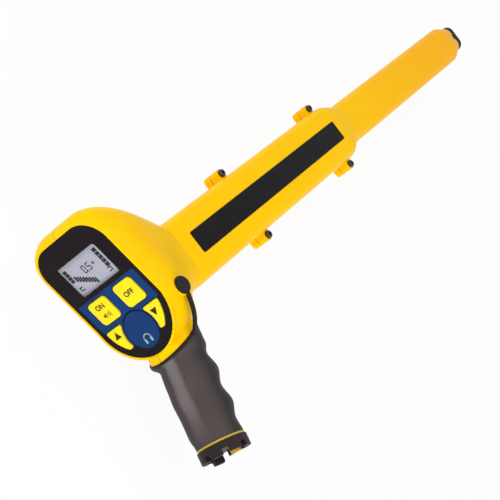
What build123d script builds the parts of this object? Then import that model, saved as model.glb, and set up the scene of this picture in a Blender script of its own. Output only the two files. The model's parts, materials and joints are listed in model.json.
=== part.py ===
"""Hand-held magnetic locator: pistol grip, flared head with a control panel, barrel and narrow sensor tube.

Millimetres. +X runs along the barrel towards the tip, +Y is away from the grip and +Z is the right-hand
side, so the locator lies on its left side. The origin is on the barrel's axis where the narrow tube starts.
"""
import math
import os

from build123d import *

os.makedirs("parts", exist_ok=True)

# Barrel and tube
TUBE_LENGTH = 265.0
TUBE_HEIGHT = 36.0
TUBE_DEPTH = 32.0
TUBE_CORNER = 9.5
BARREL_HEIGHT = 48.6
BARREL_DEPTH = 38.0
BARREL_CORNER = 10.0
SHOULDER_LENGTH = 28.0
WALL = 2.4
SEAM = 0.6
TIP_HEIGHT = 25.5
TIP_DEPTH = 23.0
TIP_CORNER = 7.0
TIP_TAPER = 22.0
TIP_CAP = 9.0
TIP_SPIGOT = 9.0
TIP_TAB = 3.0
TIP_TAB_WIDTH = 5.0

# Control panel, measured along its own face from the barrel's axis
PANEL_BACK = 340.0
PANEL_TILT = 10.5
PANEL_WIDTH = 65.2
PANEL_TOP = 57.4
PANEL_BOTTOM = 40.0
PANEL_TOP_CORNER = 18.0
PANEL_BOTTOM_CORNER = 31.8
PANEL_CREASE = -9.0
PANEL_BEND = 10.8
PANEL_BEND_RADIUS = 15.0
PANEL_REACH = 12.0
OVERLAY = 0.5
PLATE = 3.2
PLATE_LIP = 1.2
PLATE_LIP_DEPTH = 1.6
LEDGE = 2.4

# Head that flares from the barrel to the panel
RIM = 1.8
RIM_TOP = 3.1
BULGE_BACK = 12.0
BULGE_SIDE = 3.7
BULGE_TOP = 5.0
BULGE_BOTTOM = 5.6
FLANK_BACK = 36.0
FLANK_WIDTH = 59.0
FLANK_TOP = 47.0
FLANK_BOTTOM = 32.0
FLANK_TOP_CORNER = 19.0
FLANK_BOTTOM_CORNER = 25.0
NECK_BACK = 62.0

# Display, keys and loudspeaker on the panel
WINDOW_WIDTH = 41.2
WINDOW_HEIGHT = 25.0
WINDOW_CENTRE = 29.1
WINDOW_LAND = 2.0
WINDOW_THICKNESS = 1.5
LCD_MARGIN = 2.6
KEY = 18.0
KEY_CORNER = 3.0
KEY_SPREAD = 13.6
KEY_CENTRE = 2.3
KEY_PROUD = 1.2
KEY_EDGE = 0.8
KEY_FLANGE = 1.0
KEY_FLANGE_THICKNESS = 1.1
KEY_STEM_RADIUS = 3.0
KEY_STEM = 1.5
KEY_TRAVEL = 0.7
KEY_GAP = 0.35
WEDGE_TOP = -11.0
WEDGE_TIP = -28.0
WEDGE_INSET = 5.3
WEDGE_RING = 2.2
WEDGE_CORNER = 1.2
WEDGE_STEM = (21.5, -16.5)
DISC_RADIUS = 13.4
DISC_CENTRE = -21.7
DISC_THICKNESS = 1.6
DISC_PROUD = 0.4
DISC_LAND = 2.4
SPEAKER_RADIUS = 13.6
SPEAKER_RIM = 1.2
SPEAKER_DEPTH = 4.2
SPEAKER_MAGNET = 8.0

# Board behind the panel
BOARD_GAP = 4.7
BOARD = 1.6
BOARD_INSET = 5.0
SWITCH_SIZE = 6.0
SWITCH_GAP = 0.3
POST_RADIUS = 2.4
POST_TOP_SPREAD = 19.0
POST_TOP = 50.0
BOARD_SCREW_RADIUS = 1.1
BOARD_SCREW_HEAD = 2.1
BOARD_SCREW_LENGTH = 5.0
HEADER_SIZE = (8.0, 5.0)
HEADER_HEIGHT = 3.0
SENSOR_HEADER = (0.0, 12.0)
BATTERY_HEADER = (0.0, -13.5)
CHIP_SIZE = (14.0, 14.0)
CHIP_PLACES = ((-13.0, 32.0), (13.0, 32.0))
CHIP_HEIGHT = 1.6

# Screw bosses along the barrel
BOSS_STATIONS = (180.0, 32.0)
BOSS_REACH = 28.1
BOSS_RADIUS = 3.9
BOSS_RIGHT = 8.5
BOSS_LEFT = 6.5
SCREW_RADIUS = 1.5
SCREW_HEAD_RADIUS = 2.9
SCREW_HEAD = 2.4
INSERT_RADIUS = 2.3
INSERT_LENGTH = 5.0

# Strip on the barrel's right-hand side
STRIP_LENGTH = 232.0
STRIP_HEIGHT = 17.0
STRIP_END = 31.0
STRIP_THICKNESS = 0.5
STRIP_RECESS = 0.4
STRIP_CORNER = 1.5

# Grip, measured along its own axis from the barrel's axis
GRIP_RAKE = 18.5
GRIP_AHEAD = 32.6
GRIP_END = 115.5
GRIP_RING = 1.3
SLEEVE_RADIUS = 16.6
SLEEVE_WALL = 2.8
COLLAR_TOP = 30.0
COLLAR_FRONT = 18.4
COLLAR_SIDE = 21.6
COLLAR_BACK = 1.9
COLLAR_REAR = (0.0, -45.4)
COLLAR_AHEAD = (20.0, -41.4)
COLLAR_STEP = 1.2
STUB_LENGTH = 30.0

# Waves of the sleeve: share of its length, growth to the side, growth in depth, shift forwards
SLEEVE_WAVES = (
    (0.275, 4.7, 1.6, -1.9),
    (0.347, 0.3, 0.0, -0.3),
    (0.48, 1.9, 1.8, 1.1),
    (0.616, 0.7, 0.6, -1.5),
    (0.753, 1.7, 1.6, 0.6),
    (0.89, 0.3, 0.2, -1.6),
)
SLEEVE_STEPS = 32
CORE_WALL = 1.7
BORE_TOP = 56.0
GRIP_SCREW_SEAT = 35.8
GRIP_SCREW_LENGTH = 14.0
GRIP_SCREW_AHEAD = 5.0
GRIP_SCREW_SPREAD = 7.0
GRIP_PAD_RADIUS = 4.2
LEAD_HOLE_AHEAD = 1.0
LEAD_HOLE_RADIUS = 2.0

# Battery cells, carrier and cap
CELL_RADIUS = 5.15
CELL_LENGTH = 44.3
CELL_COUNT = 3
CELL_BUTTON = 1.2
CARRIER_END = 2.5
CARRIER_TOP_GAP = 1.5
CARRIER_RIB = 1.1
SPIGOT_LENGTH = 8.6
PEG_RADIUS = 0.8
PEG_REACH = 0.75
PEG_BACK = 3.2
CAP_RADIUS = 17.4
CAP_FLANGE = 4.6
LUG_HEIGHT = 3.5
LUG_COUNT = 8
LUG_INNER = 13.4
LUG_GAP = 4.5
LUG_ANGLE = 313.5
THUMB_HEIGHT = 6.1
THUMB_WIDTH = 7.4
THUMB_ROUND = 1.1
TAB_WIDTH = 8.2
TAB_ANGLE = 349.5
TAB_INNER = 11.8
SEAL_RADIUS = 0.9
SEAL_BACK = 2.4

# Headphone jack, its rubber plug and the plug's strap
JACK_BACK = 17.5
JACK_Y = -14.5
JACK_PAD_RADIUS = 6.6
JACK_BORE = 1.8
JACK_BUSH = 3.0
JACK_BODY = 4.1
JACK_BODY_LENGTH = 9.0
JACK_NUT = 4.8
JACK_NUT_THICKNESS = 2.0
JACK_WALL = 5.4
PLUG_RADIUS = 6.2
PLUG_HEAD = 1.6
PLUG_STEM = 7.0
STRAP_WIDTH = 3.4
STRAP_THICKNESS = 2.0
STRAP_SWEEP = 58.0
STRAP_SLANT = -4.0

# Sensor line
SENSOR_TUBE_RADIUS = 10.0
SENSOR_TUBE_WALL = 1.2
SENSOR_TUBE_BACK = 246.0
SENSOR_TUBE_TIP = 20.0
SENSOR_SPACING = 356.0
SENSOR_TIP = 44.0
BOBBIN_LENGTH = 42.0
BOBBIN_RADIUS = 8.6
BOBBIN_CORE = 5.0
BOBBIN_FLANGE = 3.0
COIL_RADIUS = 7.8
SUPPORT_THICKNESS = 8.0
SUPPORT_INSET = 16.0
SUPPORT_SHARE = 0.3
LEAD_RADIUS = 1.0
LEAD_RUN = 14.0
LEAD_BEND = 26.0

# Clearances
FIT = 0.2
SLIP = 0.1
COVER = 0.25
MOVE = 0.3

tilt = math.radians(PANEL_TILT)
rake = math.radians(GRIP_RAKE)
bend = math.radians(PANEL_BEND)
slant = math.radians(STRAP_SLANT)
panel = Plane(
    origin=(-PANEL_BACK, 0, 0), x_dir=(0, 0, 1), z_dir=(-math.cos(tilt), -math.sin(tilt), 0)
)
grip = Plane(
    origin=(GRIP_AHEAD - PANEL_BACK, 0, 0),
    x_dir=(math.cos(rake), -math.sin(rake), 0),
    z_dir=(-math.sin(rake), -math.cos(rake), 0),
)

panel_side = Plane(panel.origin, panel.y_dir, panel.x_dir)


def across(x):
    """Section plane square to the barrel at x, with its own x to the right-hand side and y upwards."""
    return Plane(origin=(x, 0, 0), x_dir=(0, 0, 1), z_dir=(-1, 0, 0))


def egg(plane, width, top, bottom, top_corner, bottom_corner):
    """Rounded outline with its own corner radii above and below."""
    with BuildSketch(plane) as outline:
        with Locations((0, (top - bottom) / 2)):
            Rectangle(width, top + bottom)
        fillet(outline.vertices().group_by(Axis.Y)[-1], top_corner)
        fillet(outline.vertices().group_by(Axis.Y)[0], bottom_corner)
    return outline.sketch


def panel_outline(depth, margin):
    """The panel's outline at a depth below its face, grown by a margin."""
    return egg(
        panel.offset(-depth),
        PANEL_WIDTH + 2 * margin,
        PANEL_TOP + margin,
        PANEL_BOTTOM + margin,
        PANEL_TOP_CORNER + margin,
        PANEL_BOTTOM_CORNER + margin,
    )


def bent_sheet(outline, front, back):
    """Sheet with an outline on the panel, bent as the panel is, between two depths below its face."""
    run = PANEL_TOP + PANEL_BOTTOM
    places = {}
    for depth in (front, back):
        crease = Vector(PANEL_CREASE - depth * math.tan(bend / 2), -depth)
        places[depth] = (Vector(run, -depth), crease, crease + Vector(-math.cos(bend), math.sin(bend)) * run)
    with BuildSketch(panel_side) as profile:
        with BuildLine():
            Polyline(*places[front], *reversed(places[back]), close=True)
        make_face()
        for depth in (front, back):
            corner = profile.vertices().sort_by_distance(places[depth][1])[0]
            fillet(corner, PANEL_BEND_RADIUS + depth)
    with BuildPart() as sheet:
        extrude(outline.faces(), amount=2 * PANEL_REACH)
        extrude(profile.sketch.faces(), amount=PANEL_WIDTH, both=True, mode=Mode.INTERSECT)
    return sheet.part


def rim_outline(grow):
    """Outline of the head's rim round the panel."""
    return egg(
        panel,
        PANEL_WIDTH + 2 * (RIM + grow),
        PANEL_TOP + RIM_TOP + grow,
        PANEL_BOTTOM + RIM + grow,
        PANEL_TOP_CORNER + RIM_TOP + grow,
        PANEL_BOTTOM_CORNER + RIM + grow,
    )


def bulge_section(grow):
    """Widest section of the head, parallel to the panel."""
    return egg(
        panel.offset(-BULGE_BACK),
        PANEL_WIDTH + 2 * (BULGE_SIDE + grow),
        PANEL_TOP + BULGE_TOP + grow,
        PANEL_BOTTOM + BULGE_BOTTOM + grow,
        PANEL_TOP_CORNER + BULGE_TOP + grow,
        PANEL_BOTTOM_CORNER + BULGE_SIDE + grow,
    )


def flank_section(grow):
    """Section half way along the head's flare."""
    return egg(
        across(FLANK_BACK - PANEL_BACK),
        FLANK_WIDTH + 2 * grow,
        FLANK_TOP + grow,
        FLANK_BOTTOM + grow,
        FLANK_TOP_CORNER + grow,
        FLANK_BOTTOM_CORNER + grow,
    )


def bar_section(x, height, depth, corner, grow):
    """Section of the barrel or tube at x."""
    half = height / 2 + grow
    return egg(across(x), depth + 2 * grow, half, half, corner + grow, corner + grow)


def barrel_section(x, grow):
    """Section of the wide barrel at x."""
    return bar_section(x, BARREL_HEIGHT, BARREL_DEPTH, BARREL_CORNER, grow)


def tube_section(x, grow):
    """Section of the narrow tube at x."""
    return bar_section(x, TUBE_HEIGHT, TUBE_DEPTH, TUBE_CORNER, grow)


def ease(share, low, high):
    """Value between low and high that starts and ends its change gently."""
    return low + share * share * (3 - 2 * share) * (high - low)


def shoulder_section(share, grow):
    """Section of the shoulder, from the barrel at share 0 to the tube at share 1."""
    return bar_section(
        SHOULDER_LENGTH * (share - 1),
        ease(share, BARREL_HEIGHT, TUBE_HEIGHT),
        ease(share, BARREL_DEPTH, TUBE_DEPTH),
        ease(share, BARREL_CORNER, TUBE_CORNER),
        grow,
    )


def tip_section(x, grow):
    """Section of the tube's end at x."""
    return bar_section(x, TIP_HEIGHT, TIP_DEPTH, TIP_CORNER, grow)


neck_x = NECK_BACK - PANEL_BACK
tube_end = TUBE_LENGTH - TIP_CAP
taper_start = tube_end - TIP_TAPER
plate_back = OVERLAY + PLATE
key_back = plate_back + MOVE
stem_end = key_back + KEY_FLANGE_THICKNESS + KEY_STEM
disc_back = DISC_THICKNESS - DISC_PROUD
disc_rise = (PANEL_CREASE - DISC_CENTRE) * math.tan(bend)
lower_panel = Plane(
    panel.from_local_coords((0, DISC_CENTRE, disc_rise)),
    panel.x_dir,
    panel.y_dir * math.sin(bend) + panel.z_dir * math.cos(bend),
)
board_front = plate_back + BOARD_GAP
board_back = board_front + BOARD
switch_height = board_front - stem_end - KEY_TRAVEL - SWITCH_GAP
post_places = [(POST_TOP_SPREAD, POST_TOP), (-POST_TOP_SPREAD, POST_TOP), (0, KEY_CENTRE)]
square_stem = (KEY_SPREAD, KEY_CENTRE)
switch_places = [(side * x, y) for x, y in (square_stem, WEDGE_STEM) for side in (-1, 1)]
strip_x = -STRIP_END - STRIP_LENGTH / 2
jack_x = JACK_BACK - PANEL_BACK
jack_pad_z = PANEL_WIDTH / 2 + BULGE_SIDE
boss_places = [(-station, side * BOSS_REACH) for station in BOSS_STATIONS for side in (1, -1)]
core_radius = SLEEVE_RADIUS - SLEEVE_WALL
bore_radius = core_radius - CORE_WALL
core_end = GRIP_END + GRIP_RING
grip_screw_places = [(GRIP_SCREW_AHEAD, side * GRIP_SCREW_SPREAD) for side in (1, -1)]
collar_rear = Vector(COLLAR_REAR[0] - PANEL_BACK, COLLAR_REAR[1])
collar_line = Vector(COLLAR_AHEAD[0] - COLLAR_REAR[0], COLLAR_AHEAD[1] - COLLAR_REAR[1])
sleeve_top = Plane(collar_rear, collar_line, collar_line.rotate(Axis.Z, 90))
sleeve_plane = Plane(grip.origin, grip.y_dir, grip.z_dir)
sleeve_length = GRIP_END - COLLAR_TOP
sleeve_waves = [
    (COLLAR_TOP, COLLAR_SIDE, COLLAR_FRONT, -COLLAR_BACK),
    *[
        (COLLAR_TOP + share * sleeve_length, SLEEVE_RADIUS + side, SLEEVE_RADIUS + depth, ahead)
        for share, side, depth, ahead in SLEEVE_WAVES
    ],
    (GRIP_END, SLEEVE_RADIUS, SLEEVE_RADIUS - SLIP, 0),
]
sleeve_levels = [COLLAR_TOP + sleeve_length * step / SLEEVE_STEPS for step in range(SLEEVE_STEPS + 1)]
cap_top = core_end + MOVE
lug_middle = (LUG_INNER + CAP_RADIUS) / 2
lug_depth = CAP_RADIUS - LUG_INNER
thumb_angle = LUG_ANGLE - 180 / LUG_COUNT
spigot_top = cap_top - SPIGOT_LENGTH
peg_level = core_end - PEG_BACK
seal_level = spigot_top + SEAL_BACK
seal_ring = bore_radius - SEAL_RADIUS - SLIP / 2
cell_ring = 2 * CELL_RADIUS / math.sqrt(CELL_COUNT) + SLIP
carrier_top = BORE_TOP + CARRIER_TOP_GAP
carrier_end = carrier_top + 2 * (CARRIER_END + FIT) + CELL_LENGTH
strap_inner = PANEL_BOTTOM_CORNER + BULGE_SIDE - 2 * COVER
strap_plane = Plane(
    (jack_x, JACK_Y, jack_pad_z - PANEL_BOTTOM_CORNER - BULGE_SIDE),
    (0, 0, 1),
    (-math.cos(slant), -math.sin(slant), 0),
)
front_sensor = TUBE_LENGTH - SENSOR_TIP
rear_sensor = front_sensor - SENSOR_SPACING
support_stations = [
    SUPPORT_INSET - SENSOR_TUBE_BACK,
    -SHOULDER_LENGTH - SUPPORT_INSET,
    SUPPORT_SHARE * taper_start,
    taper_start - SUPPORT_INSET,
]
header_end = -board_back - HEADER_HEIGHT
sensor_route = [
    Vector(rear_sensor - BOBBIN_LENGTH / 2, 0, 0),
    Vector(neck_x + LEAD_RUN / 2, 0, 0),
    panel.from_local_coords((*SENSOR_HEADER, header_end - LEAD_RUN)),
    panel.from_local_coords((*SENSOR_HEADER, header_end)),
]
header_foot = BATTERY_HEADER[1] - HEADER_SIZE[1] / 2
lead_depth = -board_back - HEADER_HEIGHT / 2
battery_route = [
    grip.from_local_coords((LEAD_HOLE_AHEAD, 0, BORE_TOP)),
    grip.from_local_coords((LEAD_HOLE_AHEAD, 0, LEAD_BEND)),
    panel.from_local_coords((0, header_foot - LEAD_RUN / 2, lead_depth)),
    panel.from_local_coords((0, header_foot, lead_depth)),
]
shares = [0, 0.33, 0.67, 1]


def sleeve_shape(level):
    """Side, depth and forward shift of the sleeve at a level, eased from wave to wave."""
    before = [wave for wave in sleeve_waves[:-1] if wave[0] <= level][-1]
    after = sleeve_waves[sleeve_waves.index(before) + 1]
    share = (level - before[0]) / (after[0] - before[0])
    return [ease(share, low, high) for low, high in zip(before[1:], after[1:])]


def grip_stub(grow):
    """Stub under the head that the grip bolts to."""
    with BuildPart() as stub:
        with BuildSketch(grip.offset(COLLAR_TOP)):
            with Locations((-COLLAR_BACK, 0)):
                Ellipse(COLLAR_FRONT - COLLAR_STEP + grow, COLLAR_SIDE - COLLAR_STEP + grow)
        extrude(amount=STUB_LENGTH)
        split(bisect_by=sleeve_top, keep=Keep.TOP)
    return stub.part


stub = grip_stub(0)
stub_cover = grip_stub(COVER)

# Space in front of the bent panel face
front_space = bent_sheet(panel_outline(PANEL_REACH, PANEL_REACH), -PANEL_REACH, 0)

# Outside of the whole housing
with BuildPart() as housing:
    loft(
        sections=[
            rim_outline(0), bulge_section(0), flank_section(0), barrel_section(neck_x, 0)
        ]
    )
    loft(sections=[barrel_section(neck_x, 0), barrel_section(-SHOULDER_LENGTH, 0)], ruled=True)
    loft(sections=[shoulder_section(share, 0) for share in shares])
    loft(sections=[tube_section(0, 0), tube_section(taper_start, 0)], ruled=True)
    loft(sections=[tube_section(taper_start, 0), tip_section(tube_end, 0)], ruled=True)
    extrude(rim_outline(0).faces(), amount=PANEL_REACH)
    add(front_space, mode=Mode.SUBTRACT)
    add(stub)

# Head grown by a cover gap, which shapes the parts that seat against it
with BuildPart() as head_cover:
    loft(
        sections=[
            rim_outline(COVER),
            bulge_section(COVER),
            flank_section(COVER),
            barrel_section(neck_x, COVER),
        ]
    )
    extrude(rim_outline(COVER).faces(), amount=PANEL_REACH)
    add(stub_cover)

# Pocket and groove that hold the face plate
plate_pocket = bent_sheet(panel_outline(PANEL_REACH, FIT), -PANEL_REACH, plate_back)
plate_groove = bent_sheet(
    panel_outline(PANEL_REACH, PLATE_LIP + FIT), plate_back - PLATE_LIP_DEPTH - FIT, plate_back + FIT
)

# Space inside the housing
with BuildPart() as cavity:
    loft(
        sections=[
            panel_outline(plate_back, -LEDGE),
            bulge_section(-WALL),
            flank_section(-WALL),
            barrel_section(neck_x, -WALL),
        ]
    )
    loft(sections=[barrel_section(neck_x, -WALL), barrel_section(-SHOULDER_LENGTH, -WALL)], ruled=True)
    loft(sections=[shoulder_section(share, -WALL) for share in shares])
    loft(sections=[tube_section(0, -WALL), tube_section(taper_start, -WALL)], ruled=True)
    loft(sections=[tube_section(taper_start, -WALL), tip_section(tube_end, -WALL)], ruled=True)
    extrude(panel_outline(plate_back, -LEDGE).faces(), amount=PANEL_REACH)
    add(plate_pocket)
    add(plate_groove)

# Pads inside the chin that carry the grip's screws
with BuildPart() as chin_pads:
    with BuildSketch(grip.offset(GRIP_SCREW_SEAT)):
        with Locations(*grip_screw_places):
            Circle(GRIP_PAD_RADIUS)
    extrude(amount=BORE_TOP - GRIP_SCREW_SEAT)
    add(housing.part, mode=Mode.INTERSECT)

# Holes along the grip's axis for its two screws and the battery lead
with BuildPart() as grip_holes:
    with BuildSketch(grip.offset(GRIP_SCREW_SEAT - 1)):
        with Locations(*grip_screw_places):
            Circle(SCREW_RADIUS + SLIP)
    extrude(amount=GRIP_SCREW_LENGTH + 2)
    with BuildSketch(grip.offset(GRIP_SCREW_SEAT - 4)):
        with Locations((LEAD_HOLE_AHEAD, 0)):
            Circle(LEAD_HOLE_RADIUS)
    extrude(amount=BORE_TOP - GRIP_SCREW_SEAT + 5)


def boss_row(radius, web):
    """Outlines of the four screw bosses, with the webs that join them to the barrel."""
    with BuildSketch() as outline:
        with Locations(*boss_places):
            Circle(radius)
        if web:
            reach = BOSS_REACH - BARREL_HEIGHT / 2 + WALL / 2
            with Locations(*[(x, math.copysign(BOSS_REACH - reach / 2, y)) for x, y in boss_places]):
                Rectangle(2 * radius, reach)
    return outline.sketch


# Right-hand half of the housing
with BuildPart() as right_shell:
    add(housing.part)
    extrude(boss_row(BOSS_RADIUS, True).faces(), amount=BOSS_RIGHT)
    with BuildSketch(Plane.XY.offset(jack_pad_z - JACK_WALL)):
        with Locations((jack_x, JACK_Y)):
            Circle(JACK_PAD_RADIUS)
    extrude(amount=JACK_WALL)
    add(cavity.part, mode=Mode.SUBTRACT)
    with BuildSketch(Plane.XY.offset(jack_pad_z - JACK_WALL)):
        with Locations((jack_x, JACK_Y)):
            Circle(JACK_PAD_RADIUS)
    extrude(amount=JACK_WALL / 2)
    add(chin_pads.part)
    add(grip_holes.part, mode=Mode.SUBTRACT)
    extrude(boss_row(SCREW_RADIUS + SLIP, False).faces(), amount=BOSS_RIGHT + 1, mode=Mode.SUBTRACT)
    with BuildSketch(Plane.XY.offset(jack_pad_z)):
        with Locations((jack_x, JACK_Y)):
            Circle(JACK_BUSH + SLIP)
    extrude(amount=-JACK_WALL - 1, mode=Mode.SUBTRACT)
    with BuildSketch(Plane.XY.offset(jack_pad_z)):
        with Locations((jack_x, JACK_Y)):
            Circle(JACK_NUT + FIT)
    extrude(amount=-JACK_NUT_THICKNESS - FIT, mode=Mode.SUBTRACT)
    with BuildSketch(Plane.XY.offset(BARREL_DEPTH / 2 - STRIP_RECESS)):
        with Locations((strip_x, 0)):
            RectangleRounded(STRIP_LENGTH + 2 * FIT, STRIP_HEIGHT + 2 * FIT, STRIP_CORNER + FIT)
    extrude(amount=STRIP_RECESS + 1, mode=Mode.SUBTRACT)
    with BuildSketch(Plane.XY):
        with Locations((tube_end, 0)):
            Rectangle(2 * (TIP_TAB + FIT), TIP_TAB_WIDTH + 2 * FIT)
    extrude(amount=TIP_DEPTH, mode=Mode.SUBTRACT)
    split(bisect_by=Plane.XY.offset(SEAM / 2), keep=Keep.TOP)
right_shell.part.label = "right_shell"
export_step(right_shell.part, "parts/right_shell.step")

# Left-hand half of the housing
with BuildPart() as left_shell:
    add(housing.part)
    extrude(boss_row(BOSS_RADIUS, True).faces(), amount=-BOSS_LEFT)
    add(cavity.part, mode=Mode.SUBTRACT)
    add(chin_pads.part)
    add(grip_holes.part, mode=Mode.SUBTRACT)
    extrude(boss_row(INSERT_RADIUS, False).faces(), amount=-INSERT_LENGTH - SEAM, mode=Mode.SUBTRACT)
    with BuildSketch(Plane.XY):
        with Locations((tube_end, 0)):
            Rectangle(2 * (TIP_TAB + FIT), TIP_TAB_WIDTH + 2 * FIT)
    extrude(amount=-TIP_DEPTH, mode=Mode.SUBTRACT)
    split(bisect_by=Plane.XY.offset(-SEAM / 2), keep=Keep.BOTTOM)
left_shell.part.label = "left_shell"
export_step(left_shell.part, "parts/left_shell.step")

# Thin gasket between the halves
with BuildPart() as seam_gasket:
    add(housing.part)
    extrude(boss_row(BOSS_RADIUS, True).faces(), amount=SEAM, both=True)
    add(cavity.part, mode=Mode.SUBTRACT)
    add(grip_holes.part, mode=Mode.SUBTRACT)
    extrude(boss_row(INSERT_RADIUS, False).faces(), amount=SEAM, both=True, mode=Mode.SUBTRACT)
    split(bisect_by=Plane.XY.offset(SEAM / 2), keep=Keep.BOTTOM)
    split(bisect_by=Plane.XY.offset(-SEAM / 2), keep=Keep.TOP)
seam_gasket.part.label = "seam_gasket"
export_step(seam_gasket.part, "parts/seam_gasket.step")

# Four screws that draw the halves together, with their driver sockets
with BuildPart() as shell_screws:
    with BuildSketch(Plane.XY.offset(BOSS_RIGHT)):
        with Locations(*boss_places):
            Circle(SCREW_HEAD_RADIUS)
    extrude(amount=SCREW_HEAD)
    fillet(shell_screws.edges().filter_by(GeomType.CIRCLE).group_by(Axis.Z)[-1], SCREW_HEAD / 3)
    with BuildSketch(Plane.XY.offset(BOSS_RIGHT)):
        with Locations(*boss_places):
            Circle(SCREW_RADIUS)
    extrude(amount=-BOSS_RIGHT - SEAM / 2 - INSERT_LENGTH + 1)
    with BuildSketch(Plane.XY.offset(BOSS_RIGHT + SCREW_HEAD)):
        with Locations(*boss_places):
            RegularPolygon(SCREW_RADIUS, 6)
    extrude(amount=-SCREW_HEAD / 2, mode=Mode.SUBTRACT)
shell_screws.part.label = "shell_screws"
export_step(shell_screws.part, "parts/shell_screws.step")

# Brass inserts in the left-hand bosses
with BuildPart() as shell_inserts:
    with BuildSketch(Plane.XY.offset(-SEAM / 2)):
        with Locations(*boss_places):
            Circle(INSERT_RADIUS)
            Circle(SCREW_RADIUS + SLIP, mode=Mode.SUBTRACT)
    extrude(amount=-INSERT_LENGTH)
shell_inserts.part.label = "shell_inserts"
export_step(shell_inserts.part, "parts/shell_inserts.step")

# Plain strip let into the barrel's right-hand side
with BuildPart() as side_strip:
    with BuildSketch(Plane.XY.offset(BARREL_DEPTH / 2 - STRIP_RECESS)):
        with Locations((strip_x, 0)):
            RectangleRounded(STRIP_LENGTH, STRIP_HEIGHT, STRIP_CORNER)
    extrude(amount=STRIP_THICKNESS)
side_strip.part.label = "side_strip"
export_step(side_strip.part, "parts/side_strip.step")

# Black cap that closes the tip, with a tab in each half's notch
with BuildPart() as tip_cap:
    extrude(tip_section(tube_end, 0).faces(), amount=-TIP_CAP)
    fillet(tip_cap.faces().sort_by(Axis.X)[-1].edges(), TIP_CAP / 3)
    extrude(tip_section(tube_end, -WALL - FIT).faces(), amount=TIP_SPIGOT)
    with BuildSketch(Plane.XY.offset(TIP_DEPTH / 2 - WALL)):
        with Locations((tube_end, 0)):
            Rectangle(2 * TIP_TAB, TIP_TAB_WIDTH)
    extrude(amount=WALL)
    with BuildSketch(Plane.XY.offset(WALL - TIP_DEPTH / 2)):
        with Locations((tube_end, 0)):
            Rectangle(2 * TIP_TAB, TIP_TAB_WIDTH)
    extrude(amount=-WALL)
tip_cap.part.label = "tip_cap"
export_step(tip_cap.part, "parts/tip_cap.step")


def square_key(side, grow):
    """Outline of a square key, grown for its flange or its opening."""
    with BuildSketch(panel.offset(-PANEL_REACH)) as outline:
        with Locations((side * KEY_SPREAD, KEY_CENTRE)):
            RectangleRounded(KEY + 2 * grow, KEY + 2 * grow, KEY_CORNER + grow)
    return outline.sketch


def wedge_key(side, grow):
    """Outline of a wedge key between the round cover and the panel's edge."""
    inset = WEDGE_INSET + WEDGE_CORNER
    with BuildSketch(panel.offset(-PANEL_REACH)) as outline:
        with Locations((0, (PANEL_TOP - PANEL_BOTTOM) / 2)):
            Rectangle(PANEL_WIDTH - 2 * inset, PANEL_TOP + PANEL_BOTTOM - 2 * inset)
        fillet(outline.vertices().group_by(Axis.Y)[0], PANEL_BOTTOM_CORNER - inset)
        with Locations((side * PANEL_WIDTH / 4, (WEDGE_TOP + WEDGE_TIP) / 2)):
            Rectangle(PANEL_WIDTH / 2, WEDGE_TOP - WEDGE_TIP - 2 * WEDGE_CORNER, mode=Mode.INTERSECT)
        with Locations((0, DISC_CENTRE)):
            Circle(DISC_RADIUS + WEDGE_RING + WEDGE_CORNER, mode=Mode.SUBTRACT)
        offset(amount=WEDGE_CORNER + grow)
    return outline.sketch


def key_openings():
    """Openings for the four keys."""
    shapes = [shape(side, KEY_GAP) for shape in (square_key, wedge_key) for side in (-1, 1)]
    return [face for shape in shapes for face in shape.faces()]


# Face plate, trapped by its lip in the groove of both halves, with the board's posts
plate_body = bent_sheet(panel_outline(PANEL_REACH, 0), OVERLAY, plate_back)
plate_lip = bent_sheet(panel_outline(PANEL_REACH, PLATE_LIP), plate_back - PLATE_LIP_DEPTH, plate_back)
with BuildPart() as face_plate:
    add(plate_body)
    add(plate_lip)
    extrude(key_openings(), amount=2 * PANEL_REACH, mode=Mode.SUBTRACT)
    with BuildSketch(panel.offset(-plate_back)):
        with Locations((0, WINDOW_CENTRE)):
            Rectangle(WINDOW_WIDTH, WINDOW_HEIGHT)
    extrude(amount=PLATE, mode=Mode.SUBTRACT)
    with BuildSketch(lower_panel):
        Circle(DISC_RADIUS - DISC_LAND)
    extrude(amount=plate_back + 1, both=True, mode=Mode.SUBTRACT)
    with BuildSketch(panel.offset(-OVERLAY)):
        with Locations((0, WINDOW_CENTRE)):
            Rectangle(WINDOW_WIDTH + 2 * (WINDOW_LAND + FIT), WINDOW_HEIGHT + 2 * (WINDOW_LAND + FIT))
    extrude(amount=-WINDOW_THICKNESS, mode=Mode.SUBTRACT)
    with BuildSketch(lower_panel.offset(-disc_back)):
        Circle(DISC_RADIUS + FIT)
    extrude(amount=PANEL_REACH, mode=Mode.SUBTRACT)
    with BuildSketch(panel.offset(-plate_back)):
        with Locations(*post_places):
            Circle(POST_RADIUS)
    extrude(amount=-BOARD_GAP)
    with BuildSketch(panel.offset(-board_front)):
        with Locations(*post_places):
            Circle(BOARD_SCREW_RADIUS + SLIP)
    extrude(amount=BOARD_SCREW_LENGTH, mode=Mode.SUBTRACT)
face_plate.part.label = "face_plate"
export_step(face_plate.part, "parts/face_plate.step")

# Printed sheet over the face plate
overlay_body = bent_sheet(panel_outline(PANEL_REACH, -FIT), 0, OVERLAY)
with BuildPart() as panel_overlay:
    add(overlay_body)
    extrude(key_openings(), amount=2 * PANEL_REACH, mode=Mode.SUBTRACT)
    with BuildSketch(panel.offset(-OVERLAY)):
        with Locations((0, WINDOW_CENTRE)):
            RectangleRounded(WINDOW_WIDTH, WINDOW_HEIGHT, WINDOW_LAND)
    extrude(amount=OVERLAY, mode=Mode.SUBTRACT)
    with BuildSketch(lower_panel):
        Circle(DISC_RADIUS + FIT)
    extrude(amount=plate_back, both=True, mode=Mode.SUBTRACT)
panel_overlay.part.label = "panel_overlay"
export_step(panel_overlay.part, "parts/panel_overlay.step")

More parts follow.
